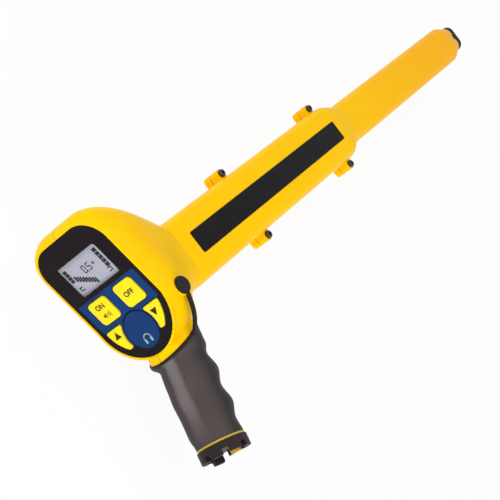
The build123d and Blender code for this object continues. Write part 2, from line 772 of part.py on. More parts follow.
# Clear window over the display
with BuildPart() as lcd_window:
    with BuildSketch(panel.offset(-OVERLAY)):
        with Locations((0, WINDOW_CENTRE)):
            Rectangle(WINDOW_WIDTH + 2 * WINDOW_LAND, WINDOW_HEIGHT + 2 * WINDOW_LAND)
    extrude(amount=-WINDOW_THICKNESS)
lcd_window.part.label = "lcd_window"
export_step(lcd_window.part, "parts/lcd_window.step")

# Display module behind the window, its glass raised into the plate's opening
with BuildPart() as lcd_module:
    with BuildSketch(panel.offset(-plate_back - FIT)):
        with Locations((0, WINDOW_CENTRE)):
            Rectangle(WINDOW_WIDTH + 2 * LCD_MARGIN, WINDOW_HEIGHT + 2 * LCD_MARGIN)
    extrude(amount=FIT - BOARD_GAP)
    with BuildSketch(panel.offset(-plate_back - FIT)):
        with Locations((0, WINDOW_CENTRE)):
            Rectangle(WINDOW_WIDTH - 2 * FIT, WINDOW_HEIGHT - 2 * FIT)
    extrude(amount=PLATE - WINDOW_THICKNESS)
lcd_module.part.label = "lcd_module"
export_step(lcd_module.part, "parts/lcd_module.step")

# The four keys, each with a retaining flange and a stem over its switch
for name, shape, side, stem in (
    ("on_key", square_key, -1, square_stem),
    ("off_key", square_key, 1, square_stem),
    ("up_key", wedge_key, -1, WEDGE_STEM),
    ("down_key", wedge_key, 1, WEDGE_STEM),
):
    key_body = bent_sheet(shape(side, 0), -KEY_PROUD, key_back)
    key_flange = bent_sheet(shape(side, KEY_FLANGE), key_back, key_back + KEY_FLANGE_THICKNESS)
    with BuildPart() as key:
        add(key_body)
        fillet(key.faces().sort_by(Axis(panel.origin, panel.z_dir))[-1].edges(), KEY_EDGE)
        add(key_flange)
        with BuildSketch(panel.offset(-stem_end)):
            with Locations((side * stem[0], stem[1])):
                Circle(KEY_STEM_RADIUS)
        extrude(amount=stem_end - plate_back / 2)
    key.part.label = name
    export_step(key.part, f"parts/{name}.step")

# Round cover in front of the loudspeaker
with BuildPart() as speaker_cover:
    with BuildSketch(lower_panel.offset(-disc_back)):
        Circle(DISC_RADIUS)
    extrude(amount=DISC_THICKNESS)
    fillet(speaker_cover.faces().sort_by(Axis(panel.origin, panel.z_dir))[-1].edges(), DISC_PROUD * 0.9)
speaker_cover.part.label = "speaker_cover"
export_step(speaker_cover.part, "parts/speaker_cover.step")

# Loudspeaker: rim, basket and magnet
with BuildPart() as speaker:
    with BuildSketch(lower_panel.offset(-plate_back - FIT)):
        Circle(SPEAKER_RADIUS)
    extrude(amount=-SPEAKER_RIM)
    with BuildSketch(lower_panel.offset(-plate_back - FIT - SPEAKER_RIM)):
        Circle(SPEAKER_MAGNET)
    extrude(amount=SPEAKER_RIM - SPEAKER_DEPTH)
speaker.part.label = "speaker"
export_step(speaker.part, "parts/speaker.step")

# Main board on the face plate's posts
with BuildPart() as main_board:
    extrude(panel_outline(board_front, -BOARD_INSET).faces(), amount=-BOARD)
    with BuildSketch(panel.offset(-board_front)):
        with Locations(*post_places):
            Circle(BOARD_SCREW_RADIUS + SLIP)
    extrude(amount=-BOARD, mode=Mode.SUBTRACT)
main_board.part.label = "main_board"
export_step(main_board.part, "parts/main_board.step")

# Chips and plug-in headers on the board's back
with BuildPart() as board_chips:
    with BuildSketch(panel.offset(-board_back)):
        with Locations(*CHIP_PLACES):
            Rectangle(*CHIP_SIZE)
    extrude(amount=-CHIP_HEIGHT)
    with BuildSketch(panel.offset(-board_back)):
        with Locations(SENSOR_HEADER, BATTERY_HEADER):
            Rectangle(*HEADER_SIZE)
    extrude(amount=-HEADER_HEIGHT)
board_chips.part.label = "board_chips"
export_step(board_chips.part, "parts/board_chips.step")

# Screws that hold the board
with BuildPart() as board_screws:
    with BuildSketch(panel.offset(-board_back)):
        with Locations(*post_places):
            Circle(BOARD_SCREW_HEAD)
    extrude(amount=-BOARD_SCREW_RADIUS)
    with BuildSketch(panel.offset(-board_back)):
        with Locations(*post_places):
            Circle(BOARD_SCREW_RADIUS)
    extrude(amount=BOARD_SCREW_LENGTH)
board_screws.part.label = "board_screws"
export_step(board_screws.part, "parts/board_screws.step")

# Push switches under the keys
with BuildPart() as key_switches:
    with BuildSketch(panel.offset(-board_front)):
        with Locations(*switch_places):
            Rectangle(SWITCH_SIZE, SWITCH_SIZE)
    extrude(amount=switch_height / 2)
    with BuildSketch(panel.offset(-board_front + switch_height / 2)):
        with Locations(*switch_places):
            Circle(SWITCH_SIZE / 4)
    extrude(amount=switch_height / 2)
key_switches.part.label = "key_switches"
export_step(key_switches.part, "parts/key_switches.step")

# Headphone jack through the right-hand half
with BuildPart() as headphone_jack:
    with BuildSketch(Plane.XY.offset(jack_pad_z - JACK_WALL)):
        with Locations((jack_x, JACK_Y)):
            Circle(JACK_BODY)
    extrude(amount=-JACK_BODY_LENGTH)
    with BuildSketch(Plane.XY.offset(jack_pad_z - JACK_WALL)):
        with Locations((jack_x, JACK_Y)):
            Circle(JACK_BUSH)
    extrude(amount=JACK_WALL - FIT)
    with BuildSketch(Plane.XY.offset(jack_pad_z)):
        with Locations((jack_x, JACK_Y)):
            Circle(JACK_BORE)
    extrude(amount=-JACK_WALL - JACK_BODY_LENGTH + WALL / 2, mode=Mode.SUBTRACT)
headphone_jack.part.label = "headphone_jack"
export_step(headphone_jack.part, "parts/headphone_jack.step")

# Nut that holds the jack
with BuildPart() as jack_nut:
    with BuildSketch(Plane.XY.offset(jack_pad_z - FIT)):
        with Locations((jack_x, JACK_Y)):
            RegularPolygon(JACK_NUT, 6)
            Circle(JACK_BUSH + SLIP, mode=Mode.SUBTRACT)
    extrude(amount=-JACK_NUT_THICKNESS)
jack_nut.part.label = "jack_nut"
export_step(jack_nut.part, "parts/jack_nut.step")

# Rubber plug that keeps dust out of the jack
with BuildPart() as jack_plug:
    with BuildSketch(Plane.XY.offset(jack_pad_z + MOVE)):
        with Locations((jack_x, JACK_Y)):
            Circle(PLUG_RADIUS)
    extrude(amount=PLUG_HEAD)
    fillet(jack_plug.edges().group_by(Axis.Z)[-1], PLUG_HEAD * 0.6)
    with BuildSketch(Plane.XY.offset(jack_pad_z + MOVE)):
        with Locations((jack_x, JACK_Y)):
            Circle(JACK_BORE - MOVE)
    extrude(amount=-PLUG_STEM)
jack_plug.part.label = "jack_plug"
export_step(jack_plug.part, "parts/jack_plug.step")

# Battery tube inside the grip: closed saddle under the chin, flange at its end, groove for the cap's pegs
with BuildPart() as grip_core:
    with BuildSketch(grip.offset(COLLAR_TOP)):
        Circle(core_radius)
    extrude(amount=core_end - COLLAR_TOP)
    with BuildSketch(grip.offset(GRIP_END)):
        Circle(SLEEVE_RADIUS)
    extrude(amount=GRIP_RING)
    split(bisect_by=sleeve_top.offset(-COVER), keep=Keep.BOTTOM)
    add(head_cover.part, mode=Mode.SUBTRACT)
    add(grip_holes.part, mode=Mode.SUBTRACT)
    with BuildSketch(grip.offset(BORE_TOP)):
        Circle(bore_radius)
    extrude(amount=core_end - BORE_TOP, mode=Mode.SUBTRACT)
    with BuildSketch(grip.offset(peg_level - PEG_RADIUS - MOVE)):
        Circle(bore_radius + PEG_REACH + MOVE)
    extrude(amount=2 * (PEG_RADIUS + MOVE), mode=Mode.SUBTRACT)
    with BuildSketch(grip.offset(peg_level)):
        Rectangle(2 * (bore_radius + PEG_REACH + MOVE), 2 * (PEG_RADIUS + MOVE))
    extrude(amount=core_end - peg_level, mode=Mode.SUBTRACT)
grip_core.part.label = "grip_core"
export_step(grip_core.part, "parts/grip_core.step")

# Space that the battery tube takes inside the rubber sleeve
with BuildPart() as core_space:
    with BuildSketch(grip.offset(COLLAR_TOP)):
        Circle(core_radius + SLIP / 2)
    extrude(amount=core_end - COLLAR_TOP)
    split(bisect_by=sleeve_top.offset(-COVER), keep=Keep.BOTTOM)

# Rubber sleeve: collar under the head, then waves for the fingers
with BuildPart() as grip_sleeve:
    for level in sleeve_levels:
        side, depth, ahead = sleeve_shape(level)
        with BuildSketch(sleeve_plane.offset(level)):
            with Locations((0, -ahead)):
                Ellipse(side, depth)
    loft()
    split(bisect_by=sleeve_top.offset(-COVER), keep=Keep.BOTTOM)
    add(head_cover.part, mode=Mode.SUBTRACT)
    add(core_space.part, mode=Mode.SUBTRACT)
grip_sleeve.part.label = "grip_sleeve"
export_step(grip_sleeve.part, "parts/grip_sleeve.step")

# Rubber strap from the plug down the head's side to the sleeve's collar
with BuildPart() as plug_tether:
    with BuildSketch(strap_plane):
        with BuildLine():
            outer = CenterArc((0, 0), strap_inner + STRAP_THICKNESS, -STRAP_SWEEP, STRAP_SWEEP)
            inner = CenterArc((0, 0), strap_inner, -STRAP_SWEEP, STRAP_SWEEP)
            Line(outer @ 0, inner @ 0)
            Line(outer @ 1, inner @ 1)
        make_face()
    extrude(amount=STRAP_WIDTH / 2, both=True)
    with BuildSketch(Plane.XY.offset(jack_pad_z - JACK_WALL)):
        with Locations((jack_x, JACK_Y)):
            Circle(JACK_PAD_RADIUS + FIT)
    extrude(amount=2 * JACK_WALL, mode=Mode.SUBTRACT)
    add(head_cover.part, mode=Mode.SUBTRACT)
    add(grip_sleeve.part, mode=Mode.SUBTRACT)
    add(core_space.part, mode=Mode.SUBTRACT)
plug_tether.part.label = "plug_tether"
export_step(plug_tether.part, "parts/plug_tether.step")

# Two screws from inside the chin into the battery tube's saddle
with BuildPart() as grip_screws:
    with BuildSketch(grip.offset(GRIP_SCREW_SEAT)):
        with Locations(*grip_screw_places):
            Circle(SCREW_HEAD_RADIUS)
    extrude(amount=-SCREW_HEAD)
    with BuildSketch(grip.offset(GRIP_SCREW_SEAT)):
        with Locations(*grip_screw_places):
            Circle(SCREW_RADIUS)
    extrude(amount=GRIP_SCREW_LENGTH)
grip_screws.part.label = "grip_screws"
export_step(grip_screws.part, "parts/grip_screws.step")

# Contact plate at the closed end of the battery tube
with BuildPart() as top_contact:
    with BuildSketch(grip.offset(BORE_TOP)):
        Circle(bore_radius - CELL_RADIUS / 2)
    extrude(amount=CARRIER_TOP_GAP - FIT)
top_contact.part.label = "top_contact"
export_step(top_contact.part, "parts/top_contact.step")

# Carrier that holds three slim cells round a centre rod
with BuildPart() as cell_carrier:
    for level in (carrier_top, carrier_end - CARRIER_END):
        with BuildSketch(grip.offset(level)):
            Circle(bore_radius - FIT - SLIP)
        extrude(amount=CARRIER_END)
    with BuildSketch(grip.offset(carrier_top)):
        Circle(cell_ring - CELL_RADIUS - FIT)
        with PolarLocations(bore_radius - FIT - CARRIER_RIB, CELL_COUNT, start_angle=180 / CELL_COUNT):
            Circle(CARRIER_RIB - FIT)
    extrude(amount=carrier_end - carrier_top)
cell_carrier.part.label = "cell_carrier"
export_step(cell_carrier.part, "parts/cell_carrier.step")

# The three cells, each with its button end
with BuildPart() as battery_cells:
    with BuildSketch(grip.offset(carrier_top + CARRIER_END + FIT)):
        with PolarLocations(cell_ring, CELL_COUNT):
            Circle(CELL_RADIUS)
    extrude(amount=CELL_LENGTH - CELL_BUTTON)
    with BuildSketch(grip.offset(carrier_top + CARRIER_END + FIT + CELL_LENGTH - CELL_BUTTON)):
        with PolarLocations(cell_ring, CELL_COUNT):
            Circle(CELL_RADIUS / 3)
    extrude(amount=CELL_BUTTON)
battery_cells.part.label = "battery_cells"
export_step(battery_cells.part, "parts/battery_cells.step")

# Longer lug of the cap, with its end rounded
with BuildPart() as thumb_lug:
    with BuildSketch(grip.offset(cap_top + CAP_FLANGE / 2)):
        with PolarLocations(lug_middle, 1, start_angle=thumb_angle):
            Rectangle(2 * lug_depth, THUMB_WIDTH)
        Circle(CAP_RADIUS - SLIP, mode=Mode.INTERSECT)
        Circle(LUG_INNER + SLIP, mode=Mode.SUBTRACT)
    extrude(amount=CAP_FLANGE / 2 + THUMB_HEIGHT)
    fillet(thumb_lug.faces().sort_by(Axis(grip.origin, grip.z_dir))[-1].edges(), THUMB_ROUND)

# Quarter-turn cap: spigot with two pegs and a seal groove, flange and a crown of lugs, one longer for the thumb
with BuildPart() as battery_cap:
    with BuildSketch(grip.offset(cap_top)):
        Circle(CAP_RADIUS)
    extrude(amount=CAP_FLANGE)
    with BuildSketch(grip.offset(cap_top + CAP_FLANGE)):
        Circle(CAP_RADIUS)
        Circle(LUG_INNER, mode=Mode.SUBTRACT)
        with PolarLocations(lug_middle, LUG_COUNT, start_angle=LUG_ANGLE):
            Rectangle(2 * lug_depth, LUG_GAP, mode=Mode.SUBTRACT)
        with PolarLocations(lug_middle, 1, start_angle=TAB_ANGLE):
            Rectangle(2 * lug_depth, TAB_WIDTH, mode=Mode.SUBTRACT)
    extrude(amount=LUG_HEIGHT)
    add(thumb_lug.part)
    with BuildSketch(grip.offset(cap_top)):
        Circle(bore_radius - MOVE)
    extrude(amount=-SPIGOT_LENGTH)
    with BuildSketch(grip.offset(seal_level - SEAL_RADIUS - SLIP)):
        Circle(bore_radius)
        Circle(seal_ring - SEAL_RADIUS - SLIP, mode=Mode.SUBTRACT)
    extrude(amount=2 * (SEAL_RADIUS + SLIP), mode=Mode.SUBTRACT)
    with BuildSketch(grip.offset(peg_level - PEG_RADIUS)):
        Rectangle(2 * PEG_RADIUS, 2 * (bore_radius + PEG_REACH))
    extrude(amount=2 * PEG_RADIUS)
battery_cap.part.label = "battery_cap"
export_step(battery_cap.part, "parts/battery_cap.step")

# Coloured tab that stands in the crown between two lugs
with BuildPart() as cap_insert:
    with BuildSketch(grip.offset(cap_top + CAP_FLANGE)):
        with PolarLocations(lug_middle, 1, start_angle=TAB_ANGLE):
            Rectangle(2 * lug_depth, TAB_WIDTH - 2 * FIT)
        Circle(CAP_RADIUS - SLIP, mode=Mode.INTERSECT)
        Circle(TAB_INNER, mode=Mode.SUBTRACT)
    extrude(amount=LUG_HEIGHT)
cap_insert.part.label = "cap_insert"
export_step(cap_insert.part, "parts/cap_insert.step")

# Contact on the cap's spigot
with BuildPart() as cap_contact:
    with BuildSketch(grip.offset(spigot_top)):
        Circle(CELL_RADIUS)
    extrude(amount=carrier_end + MOVE - spigot_top)
cap_contact.part.label = "cap_contact"
export_step(cap_contact.part, "parts/cap_contact.step")

# Seal ring on the spigot
with BuildPart() as cap_seal:
    with BuildSketch(Plane(grip.from_local_coords((0, 0, seal_level)), grip.x_dir, grip.y_dir)):
        with Locations((seal_ring, 0)):
            Circle(SEAL_RADIUS)
    revolve(axis=Axis(grip.origin, grip.z_dir))
cap_seal.part.label = "cap_seal"
export_step(cap_seal.part, "parts/cap_seal.step")

# Tube that keeps both sensors in line
with BuildPart() as sensor_tube:
    with BuildSketch(Plane.YZ.offset(-SENSOR_TUBE_BACK)):
        Circle(SENSOR_TUBE_RADIUS)
        Circle(SENSOR_TUBE_RADIUS - SENSOR_TUBE_WALL, mode=Mode.SUBTRACT)
    extrude(amount=SENSOR_TUBE_BACK + TUBE_LENGTH - SENSOR_TUBE_TIP)
sensor_tube.part.label = "sensor_tube"
export_step(sensor_tube.part, "parts/sensor_tube.step")

# Bulkheads that hold the sensor tube in the barrel and in the narrow tube
with BuildPart() as sensor_supports:
    for station in support_stations:
        section = barrel_section if station < -SHOULDER_LENGTH else tube_section
        extrude(section(station, -WALL - FIT).faces(), amount=-SUPPORT_THICKNESS)
        with BuildSketch(Plane.YZ.offset(station)):
            Circle(SENSOR_TUBE_RADIUS + SLIP)
        extrude(amount=SUPPORT_THICKNESS, mode=Mode.SUBTRACT)
sensor_supports.part.label = "sensor_supports"
export_step(sensor_supports.part, "parts/sensor_supports.step")

# Two sensors at a fixed spacing, each a bobbin with its coil
for name, centre in (("front", front_sensor), ("rear", rear_sensor)):
    with BuildPart() as bobbin:
        with BuildSketch(Plane.YZ.offset(centre - BOBBIN_LENGTH / 2)):
            Circle(BOBBIN_CORE)
        extrude(amount=BOBBIN_LENGTH)
        for start in (centre - BOBBIN_LENGTH / 2, centre + BOBBIN_LENGTH / 2 - BOBBIN_FLANGE):
            with BuildSketch(Plane.YZ.offset(start)):
                Circle(BOBBIN_RADIUS)
            extrude(amount=BOBBIN_FLANGE)
    bobbin.part.label = f"{name}_bobbin"
    export_step(bobbin.part, f"parts/{name}_bobbin.step")

    with BuildPart() as coil:
        with BuildSketch(Plane.YZ.offset(centre - BOBBIN_LENGTH / 2 + BOBBIN_FLANGE + SLIP)):
            Circle(COIL_RADIUS)
            Circle(BOBBIN_CORE + SLIP, mode=Mode.SUBTRACT)
        extrude(amount=BOBBIN_LENGTH - 2 * (BOBBIN_FLANGE + SLIP))
    coil.part.label = f"{name}_coil"
    export_step(coil.part, f"parts/{name}_coil.step")


def bend_radii(route):
    """Bend radii as large as the straight runs beside each bend allow."""
    radii = []
    for before, corner, after in zip(route, route[1:], route[2:]):
        turn = math.radians((corner - before).get_angle(after - corner))
        shorter = min((corner - before).length, (after - corner).length)
        radii.append(0.45 * shorter / math.tan(turn / 2))
    return radii


# Leads from the rear sensor and from the battery tube to the board's headers
for name, route in (("sensor_lead", sensor_route), ("battery_lead", battery_route)):
    with BuildPart() as cable:
        with BuildLine() as path:
            FilletPolyline(*route, radius=bend_radii(route))
        with BuildSketch(Plane(origin=path.line @ 0, z_dir=path.line % 0)):
            Circle(LEAD_RADIUS)
        sweep()
    cable.part.label = name
    export_step(cable.part, f"parts/{name}.step")
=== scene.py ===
"""Magnetic locator: finishes, printed panel, display, legends, strap, camera and studio light."""
import json
import logging
import math
from dataclasses import dataclass, field
from enum import Enum
from functools import reduce
from typing import Any, Callable, Optional, Sequence

import bpy
from mathutils import Matrix, Vector


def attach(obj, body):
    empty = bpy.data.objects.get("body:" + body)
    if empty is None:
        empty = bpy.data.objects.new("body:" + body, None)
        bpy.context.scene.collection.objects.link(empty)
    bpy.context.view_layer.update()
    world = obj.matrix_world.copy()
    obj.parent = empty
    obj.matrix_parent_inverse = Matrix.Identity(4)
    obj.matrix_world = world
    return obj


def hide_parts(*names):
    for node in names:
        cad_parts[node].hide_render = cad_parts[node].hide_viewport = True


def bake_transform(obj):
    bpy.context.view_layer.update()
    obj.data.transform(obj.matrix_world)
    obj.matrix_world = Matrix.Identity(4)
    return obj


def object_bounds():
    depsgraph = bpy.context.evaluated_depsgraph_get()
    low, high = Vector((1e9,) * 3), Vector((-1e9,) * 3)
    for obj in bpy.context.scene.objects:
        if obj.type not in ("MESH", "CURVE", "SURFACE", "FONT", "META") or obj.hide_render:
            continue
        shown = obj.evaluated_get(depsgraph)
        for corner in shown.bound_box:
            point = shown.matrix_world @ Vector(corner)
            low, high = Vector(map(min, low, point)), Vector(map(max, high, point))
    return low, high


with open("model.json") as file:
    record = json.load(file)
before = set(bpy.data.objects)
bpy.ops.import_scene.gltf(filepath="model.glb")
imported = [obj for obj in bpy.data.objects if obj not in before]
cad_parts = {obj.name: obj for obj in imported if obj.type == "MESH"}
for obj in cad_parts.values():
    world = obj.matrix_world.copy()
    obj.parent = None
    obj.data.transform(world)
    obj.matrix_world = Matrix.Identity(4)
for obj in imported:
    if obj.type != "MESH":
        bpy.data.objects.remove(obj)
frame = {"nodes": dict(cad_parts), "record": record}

logging.basicConfig(level=logging.INFO, format="%(message)s")
log = logging.getLogger("locator")

MM = 0.001
CAD_BOX = [list(corner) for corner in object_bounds()]

Colour = tuple[float, float, float]
Span = tuple[float, float]
Piece = bpy.types.Object
Socket = bpy.types.NodeSocket


def srgb(red: float, green: float, blue: float) -> Colour:
    """Turns a colour written in 0 to 255 display steps into linear light.

    Args:
        red: Red step.
        green: Green step.
        blue: Blue step.

    Returns:
        The linear colour.
    """
    def linear(step: float) -> float:
        """One channel in linear light."""
        share = step / 255
        return share / 12.92 if share <= 0.04045 else ((share + 0.055) / 1.055) ** 2.4

    return (linear(red), linear(green), linear(blue))


class Body(Enum):
    """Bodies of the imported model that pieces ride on."""

    HOUSING = "housing"
    ON_KEY = "on_key"
    OFF_KEY = "off_key"
    UP_KEY = "up_key"
    DOWN_KEY = "down_key"
    PLUG = "plug"


class Kind(Enum):
    """Kinds of socket on a node group."""

    NUMBER = "NodeSocketFloat"
    VECTOR = "NodeSocketVector"


@dataclass(frozen=True)
class Face:
    """A flat face with its own axes, in metres."""

    origin: Vector
    right: Vector
    up: Vector

    @property
    def out(self) -> Vector:
        """Direction out of the face."""
        return self.right.cross(self.up)

    def matrix(self, across: float, up: float, depth: float, turn: float = 0.0) -> Matrix:
        """Place of a flat piece on the face.

        Args:
            across: Distance to the right, in millimetres.
            up: Distance up the face, in millimetres.
            depth: Depth below the face, in millimetres.
            turn: Turn in the face, in degrees.

        Returns:
            The matrix that takes a piece from its own flat place to the face.
        """
        place = self.origin + (self.right * across + self.up * up - self.out * depth) * MM
        axes = Matrix((self.right, self.up, self.out)).transposed().to_4x4()
        return Matrix.Translation(place) @ axes @ Matrix.Rotation(math.radians(turn), 4, "Z")


@dataclass(frozen=True)
class GripAxis:
    """The grip's raked axis, in metres and radians."""

    origin: Vector
    rake: float

    @property
    def down(self) -> Vector:
        """Direction from the barrel to the grip's end."""
        return Vector((-math.sin(self.rake), -math.cos(self.rake), 0.0))

    def side(self, turn: float) -> Vector:
        """Direction square to the axis, turned in degrees from straight ahead to the right-hand side."""
        ahead = Vector((math.cos(self.rake), -math.sin(self.rake), 0.0))
        return ahead * math.cos(math.radians(turn)) + Vector((0.0, 0.0, math.sin(math.radians(turn))))


# The panel is tilted, and below its crease the lower part with the disc bends towards the user.
# PANEL_CREASE, DISC_UP and DISC_OUT are in millimetres up and out of the panel.
PANEL_TILT = math.radians(10.5)
PANEL_BEND = math.radians(10.8)
PANEL_CREASE = -9.0
DISC_UP = -21.7
PANEL = Face(
    Vector((-0.340, 0.0, 0.0)),
    Vector((0.0, 0.0, 1.0)),
    Vector((-math.sin(PANEL_TILT), math.cos(PANEL_TILT), 0.0)),
)
DISC_OUT = (PANEL_CREASE - DISC_UP) * math.tan(PANEL_BEND)
DISC = Face(
    PANEL.origin + (PANEL.up * DISC_UP + PANEL.out * DISC_OUT) * MM,
    PANEL.right,
    PANEL.up * math.cos(PANEL_BEND) - PANEL.out * math.sin(PANEL_BEND),
)
GRIP = GripAxis(Vector((-0.3074, 0.0, 0.0)), math.radians(18.5))
COLLAR_RIM = Vector((-0.340, -0.0454, 0.0))
COLLAR_DOWN = Vector((4.0, -20.0, 0.0)).normalized()


class Graph:
    """Adds and joins the nodes of one material or node group."""

    def __init__(self, tree: bpy.types.NodeTree) -> None:
        """Starts on an empty tree."""
        self.tree = tree
        tree.nodes.clear()

    def add(self, kind: str, inputs: Optional[dict[Any, Any]] = None, **settings: Any) -> bpy.types.Node:
        """Adds a node.

        Args:
            kind: Node type name.
            inputs: Values or sockets for its inputs, by name or index.
            **settings: Attributes of the node.

        Returns:
            The new node.
        """
        node = self.tree.nodes.new(kind)
        for name, value in settings.items():
            setattr(node, name, value)
        for name, value in (inputs or {}).items():
            self.feed(node.inputs[name], value)
        return node

    def feed(self, socket: Socket, value: Any) -> None:
        """Joins a socket to an input, or sets the input's own value.

        Args:
            socket: The input.
            value: Socket to join, or plain value.
        """
        if isinstance(value, Socket):
            self.tree.links.new(value, socket)
        elif socket.type == "RGBA" and len(value) == 3:
            socket.default_value = (*value, 1.0)
        else:
            socket.default_value = value

    def group(self, tree: bpy.types.NodeTree, inputs: dict[str, Any]) -> bpy.types.bpy_prop_collection:
        """Places a shared node group with its own values and returns its outputs."""
        return self.add("ShaderNodeGroup", inputs, node_tree=tree).outputs

    def math(self, operation: str, first: Any, second: Any = 0.0, third: Any = 0.0) -> Socket:
        """Adds a maths node and returns its result."""
        values = {0: first, 1: second, 2: third}
        return self.add("ShaderNodeMath", values, operation=operation).outputs[0]

    def product(self, *shares: Any) -> Socket:
        """Multiplies shares with each other and returns the product."""
        return reduce(lambda first, second: self.math("MULTIPLY", first, second), shares)

    def length(self, first: Any, second: Any) -> Socket:
        """Adds the length that two distances at right angles make and returns it."""
        squares = [self.math("POWER", distance, 2.0) for distance in (first, second)]
        return self.math("SQRT", self.math("ADD", *squares))

    def step(self, value: Any, low: float, high: float) -> Socket:
        """Adds a smooth step from 0 at low to 1 at high and returns its result."""
        values = {"Value": value, "From Min": low, "From Max": high}
        return self.add("ShaderNodeMapRange", values, interpolation_type="SMOOTHSTEP").outputs[0]

    def noise(self, place: Any, scale: Any, detail: float, rough: float = 0.5) -> Socket:
        """Adds cloudy noise and returns its value."""
        values = {"Vector": place, "Scale": scale, "Detail": detail, "Roughness": rough}
        return self.add("ShaderNodeTexNoise", values).outputs[0]

    def blend(self, share: Any, first: Any, second: Any, mode: str = "MIX") -> Socket:
        """Mixes two colours by a share and returns the result."""
        values = {0: share, 6: first, 7: second}
        return self.add("ShaderNodeMix", values, data_type="RGBA", blend_type=mode).outputs[2]

    def place(self) -> Socket:
        """Adds the object's own coordinates, in metres, and returns them."""
        return self.add("ShaderNodeTexCoord").outputs["Object"]

    def axis(self, place: Any, name: str) -> Socket:
        """Takes one coordinate out of a place and returns it."""
        return self.add("ShaderNodeSeparateXYZ", {0: place}).outputs[name]

    def along(self, place: Any, start: Vector, direction: Vector) -> Socket:
        """Adds the distance of a place from a start along a direction.

        Args:
            place: Socket of the place.
            start: Point to measure from.
            direction: Unit vector to measure along.

        Returns:
            The distance, in metres.
        """
        away = self.add("ShaderNodeVectorMath", {0: place, 1: tuple(start)}, operation="SUBTRACT")
        values = {0: away.outputs[0], 1: tuple(direction)}
        return self.add("ShaderNodeVectorMath", values, operation="DOT_PRODUCT").outputs["Value"]

    def principled(self, inputs: dict[str, Any]) -> None:
        """Ends a material with one Principled shader."""
        shader = self.add("ShaderNodeBsdfPrincipled", inputs)
        self.add("ShaderNodeOutputMaterial", {"Surface": shader.outputs[0]})


def new_group(name: str, inputs: dict[str, Kind], outputs: dict[str, Kind]) -> Graph:
    """Makes an empty shader node group with named sockets.

    Args:
        name: Name of the group.
        inputs: Kind of each input, by name.
        outputs: Kind of each output, by name.

    Returns:
        The graph of the group.
    """
    tree = bpy.data.node_groups.new(name, "ShaderNodeTree")
    for way, sockets in (("INPUT", inputs), ("OUTPUT", outputs)):
        for socket, kind in sockets.items():
            tree.interface.new_socket(socket, in_out=way, socket_type=kind.value)
    return Graph(tree)


class Effects:
    """Node groups that several finishes share."""

    cloud_share: float = 0.65
    tone_span: Span = (0.3, 0.7)
    mark_stretch: tuple[float, float, float] = (0.35, 1.6, 1.0)
    mark_span: Span = (0.58, 0.72)
    patch_scale: float = 14.0
    patch_span: Span = (0.5, 0.66)

    def __init__(self) -> None:
        """Builds each group once."""
        self.mottle = self.make_mottle()
        self.scuff = self.make_scuff()
        self.panel = self.make_panel()

    def make_mottle(self) -> bpy.types.NodeTree:
        """Builds a cloudy change of tone with a finer grain for the bump.

        Returns:
            The group.
        """
        graph = new_group(
            "mottle",
            {"Vector": Kind.VECTOR, "Cloud": Kind.NUMBER, "Grain": Kind.NUMBER},
            {"Tone": Kind.NUMBER, "Height": Kind.NUMBER},
        )
        start = graph.add("NodeGroupInput").outputs
        cloud = graph.noise(start["Vector"], start["Cloud"], detail=4.0, rough=0.6)
        grain = graph.noise(start["Vector"], start["Grain"], detail=2.0)
        clouded = graph.math("MULTIPLY", cloud, self.cloud_share)
        tone = graph.math("MULTIPLY_ADD", grain, 1 - self.cloud_share, clouded)
        graph.add("NodeGroupOutput", {"Tone": graph.step(tone, *self.tone_span), "Height": grain})
        return graph.tree

    def make_scuff(self) -> bpy.types.NodeTree:
        """Builds sparse fine rub marks from handling.

        Returns:
            The group.
        """
        graph = new_group("scuff", {"Vector": Kind.VECTOR, "Scale": Kind.NUMBER}, {"Mask": Kind.NUMBER})
        start = graph.add("NodeGroupInput").outputs
        stretch = graph.add("ShaderNodeMapping", {"Vector": start["Vector"], "Scale": self.mark_stretch})
        marks = graph.noise(stretch.outputs[0], start["Scale"], detail=6.0, rough=0.75)
        patch = graph.noise(start["Vector"], self.patch_scale, detail=1.0)
        mask = graph.product(graph.step(marks, *self.mark_span), graph.step(patch, *self.patch_span))
        graph.add("NodeGroupOutput", {"Mask": mask})
        return graph.tree

    def make_panel(self) -> bpy.types.NodeTree:
        """Builds the place on the panel's face in millimetres, right of and up from the barrel's axis.

        Returns:
            The group.
        """
        graph = new_group(
            "panel_place", {"Vector": Kind.VECTOR}, {"Across": Kind.NUMBER, "Up": Kind.NUMBER}
        )
        start = graph.add("NodeGroupInput").outputs
        spot = {}
        for name, axis in (("Across", PANEL.right), ("Up", PANEL.up)):
            metres = graph.along(start["Vector"], PANEL.origin, axis)
            spot[name] = graph.math("MULTIPLY", metres, 1 / MM)
        graph.add("NodeGroupOutput", spot)
        return graph.tree


@dataclass(frozen=True)
class Surface:
    """A material in the making: its graph, the shared groups, and the sockets that a finish works with."""

    material: bpy.types.Material
    graph: Graph
    effects: Effects
    place: Socket
    tone: Socket
    height: Socket


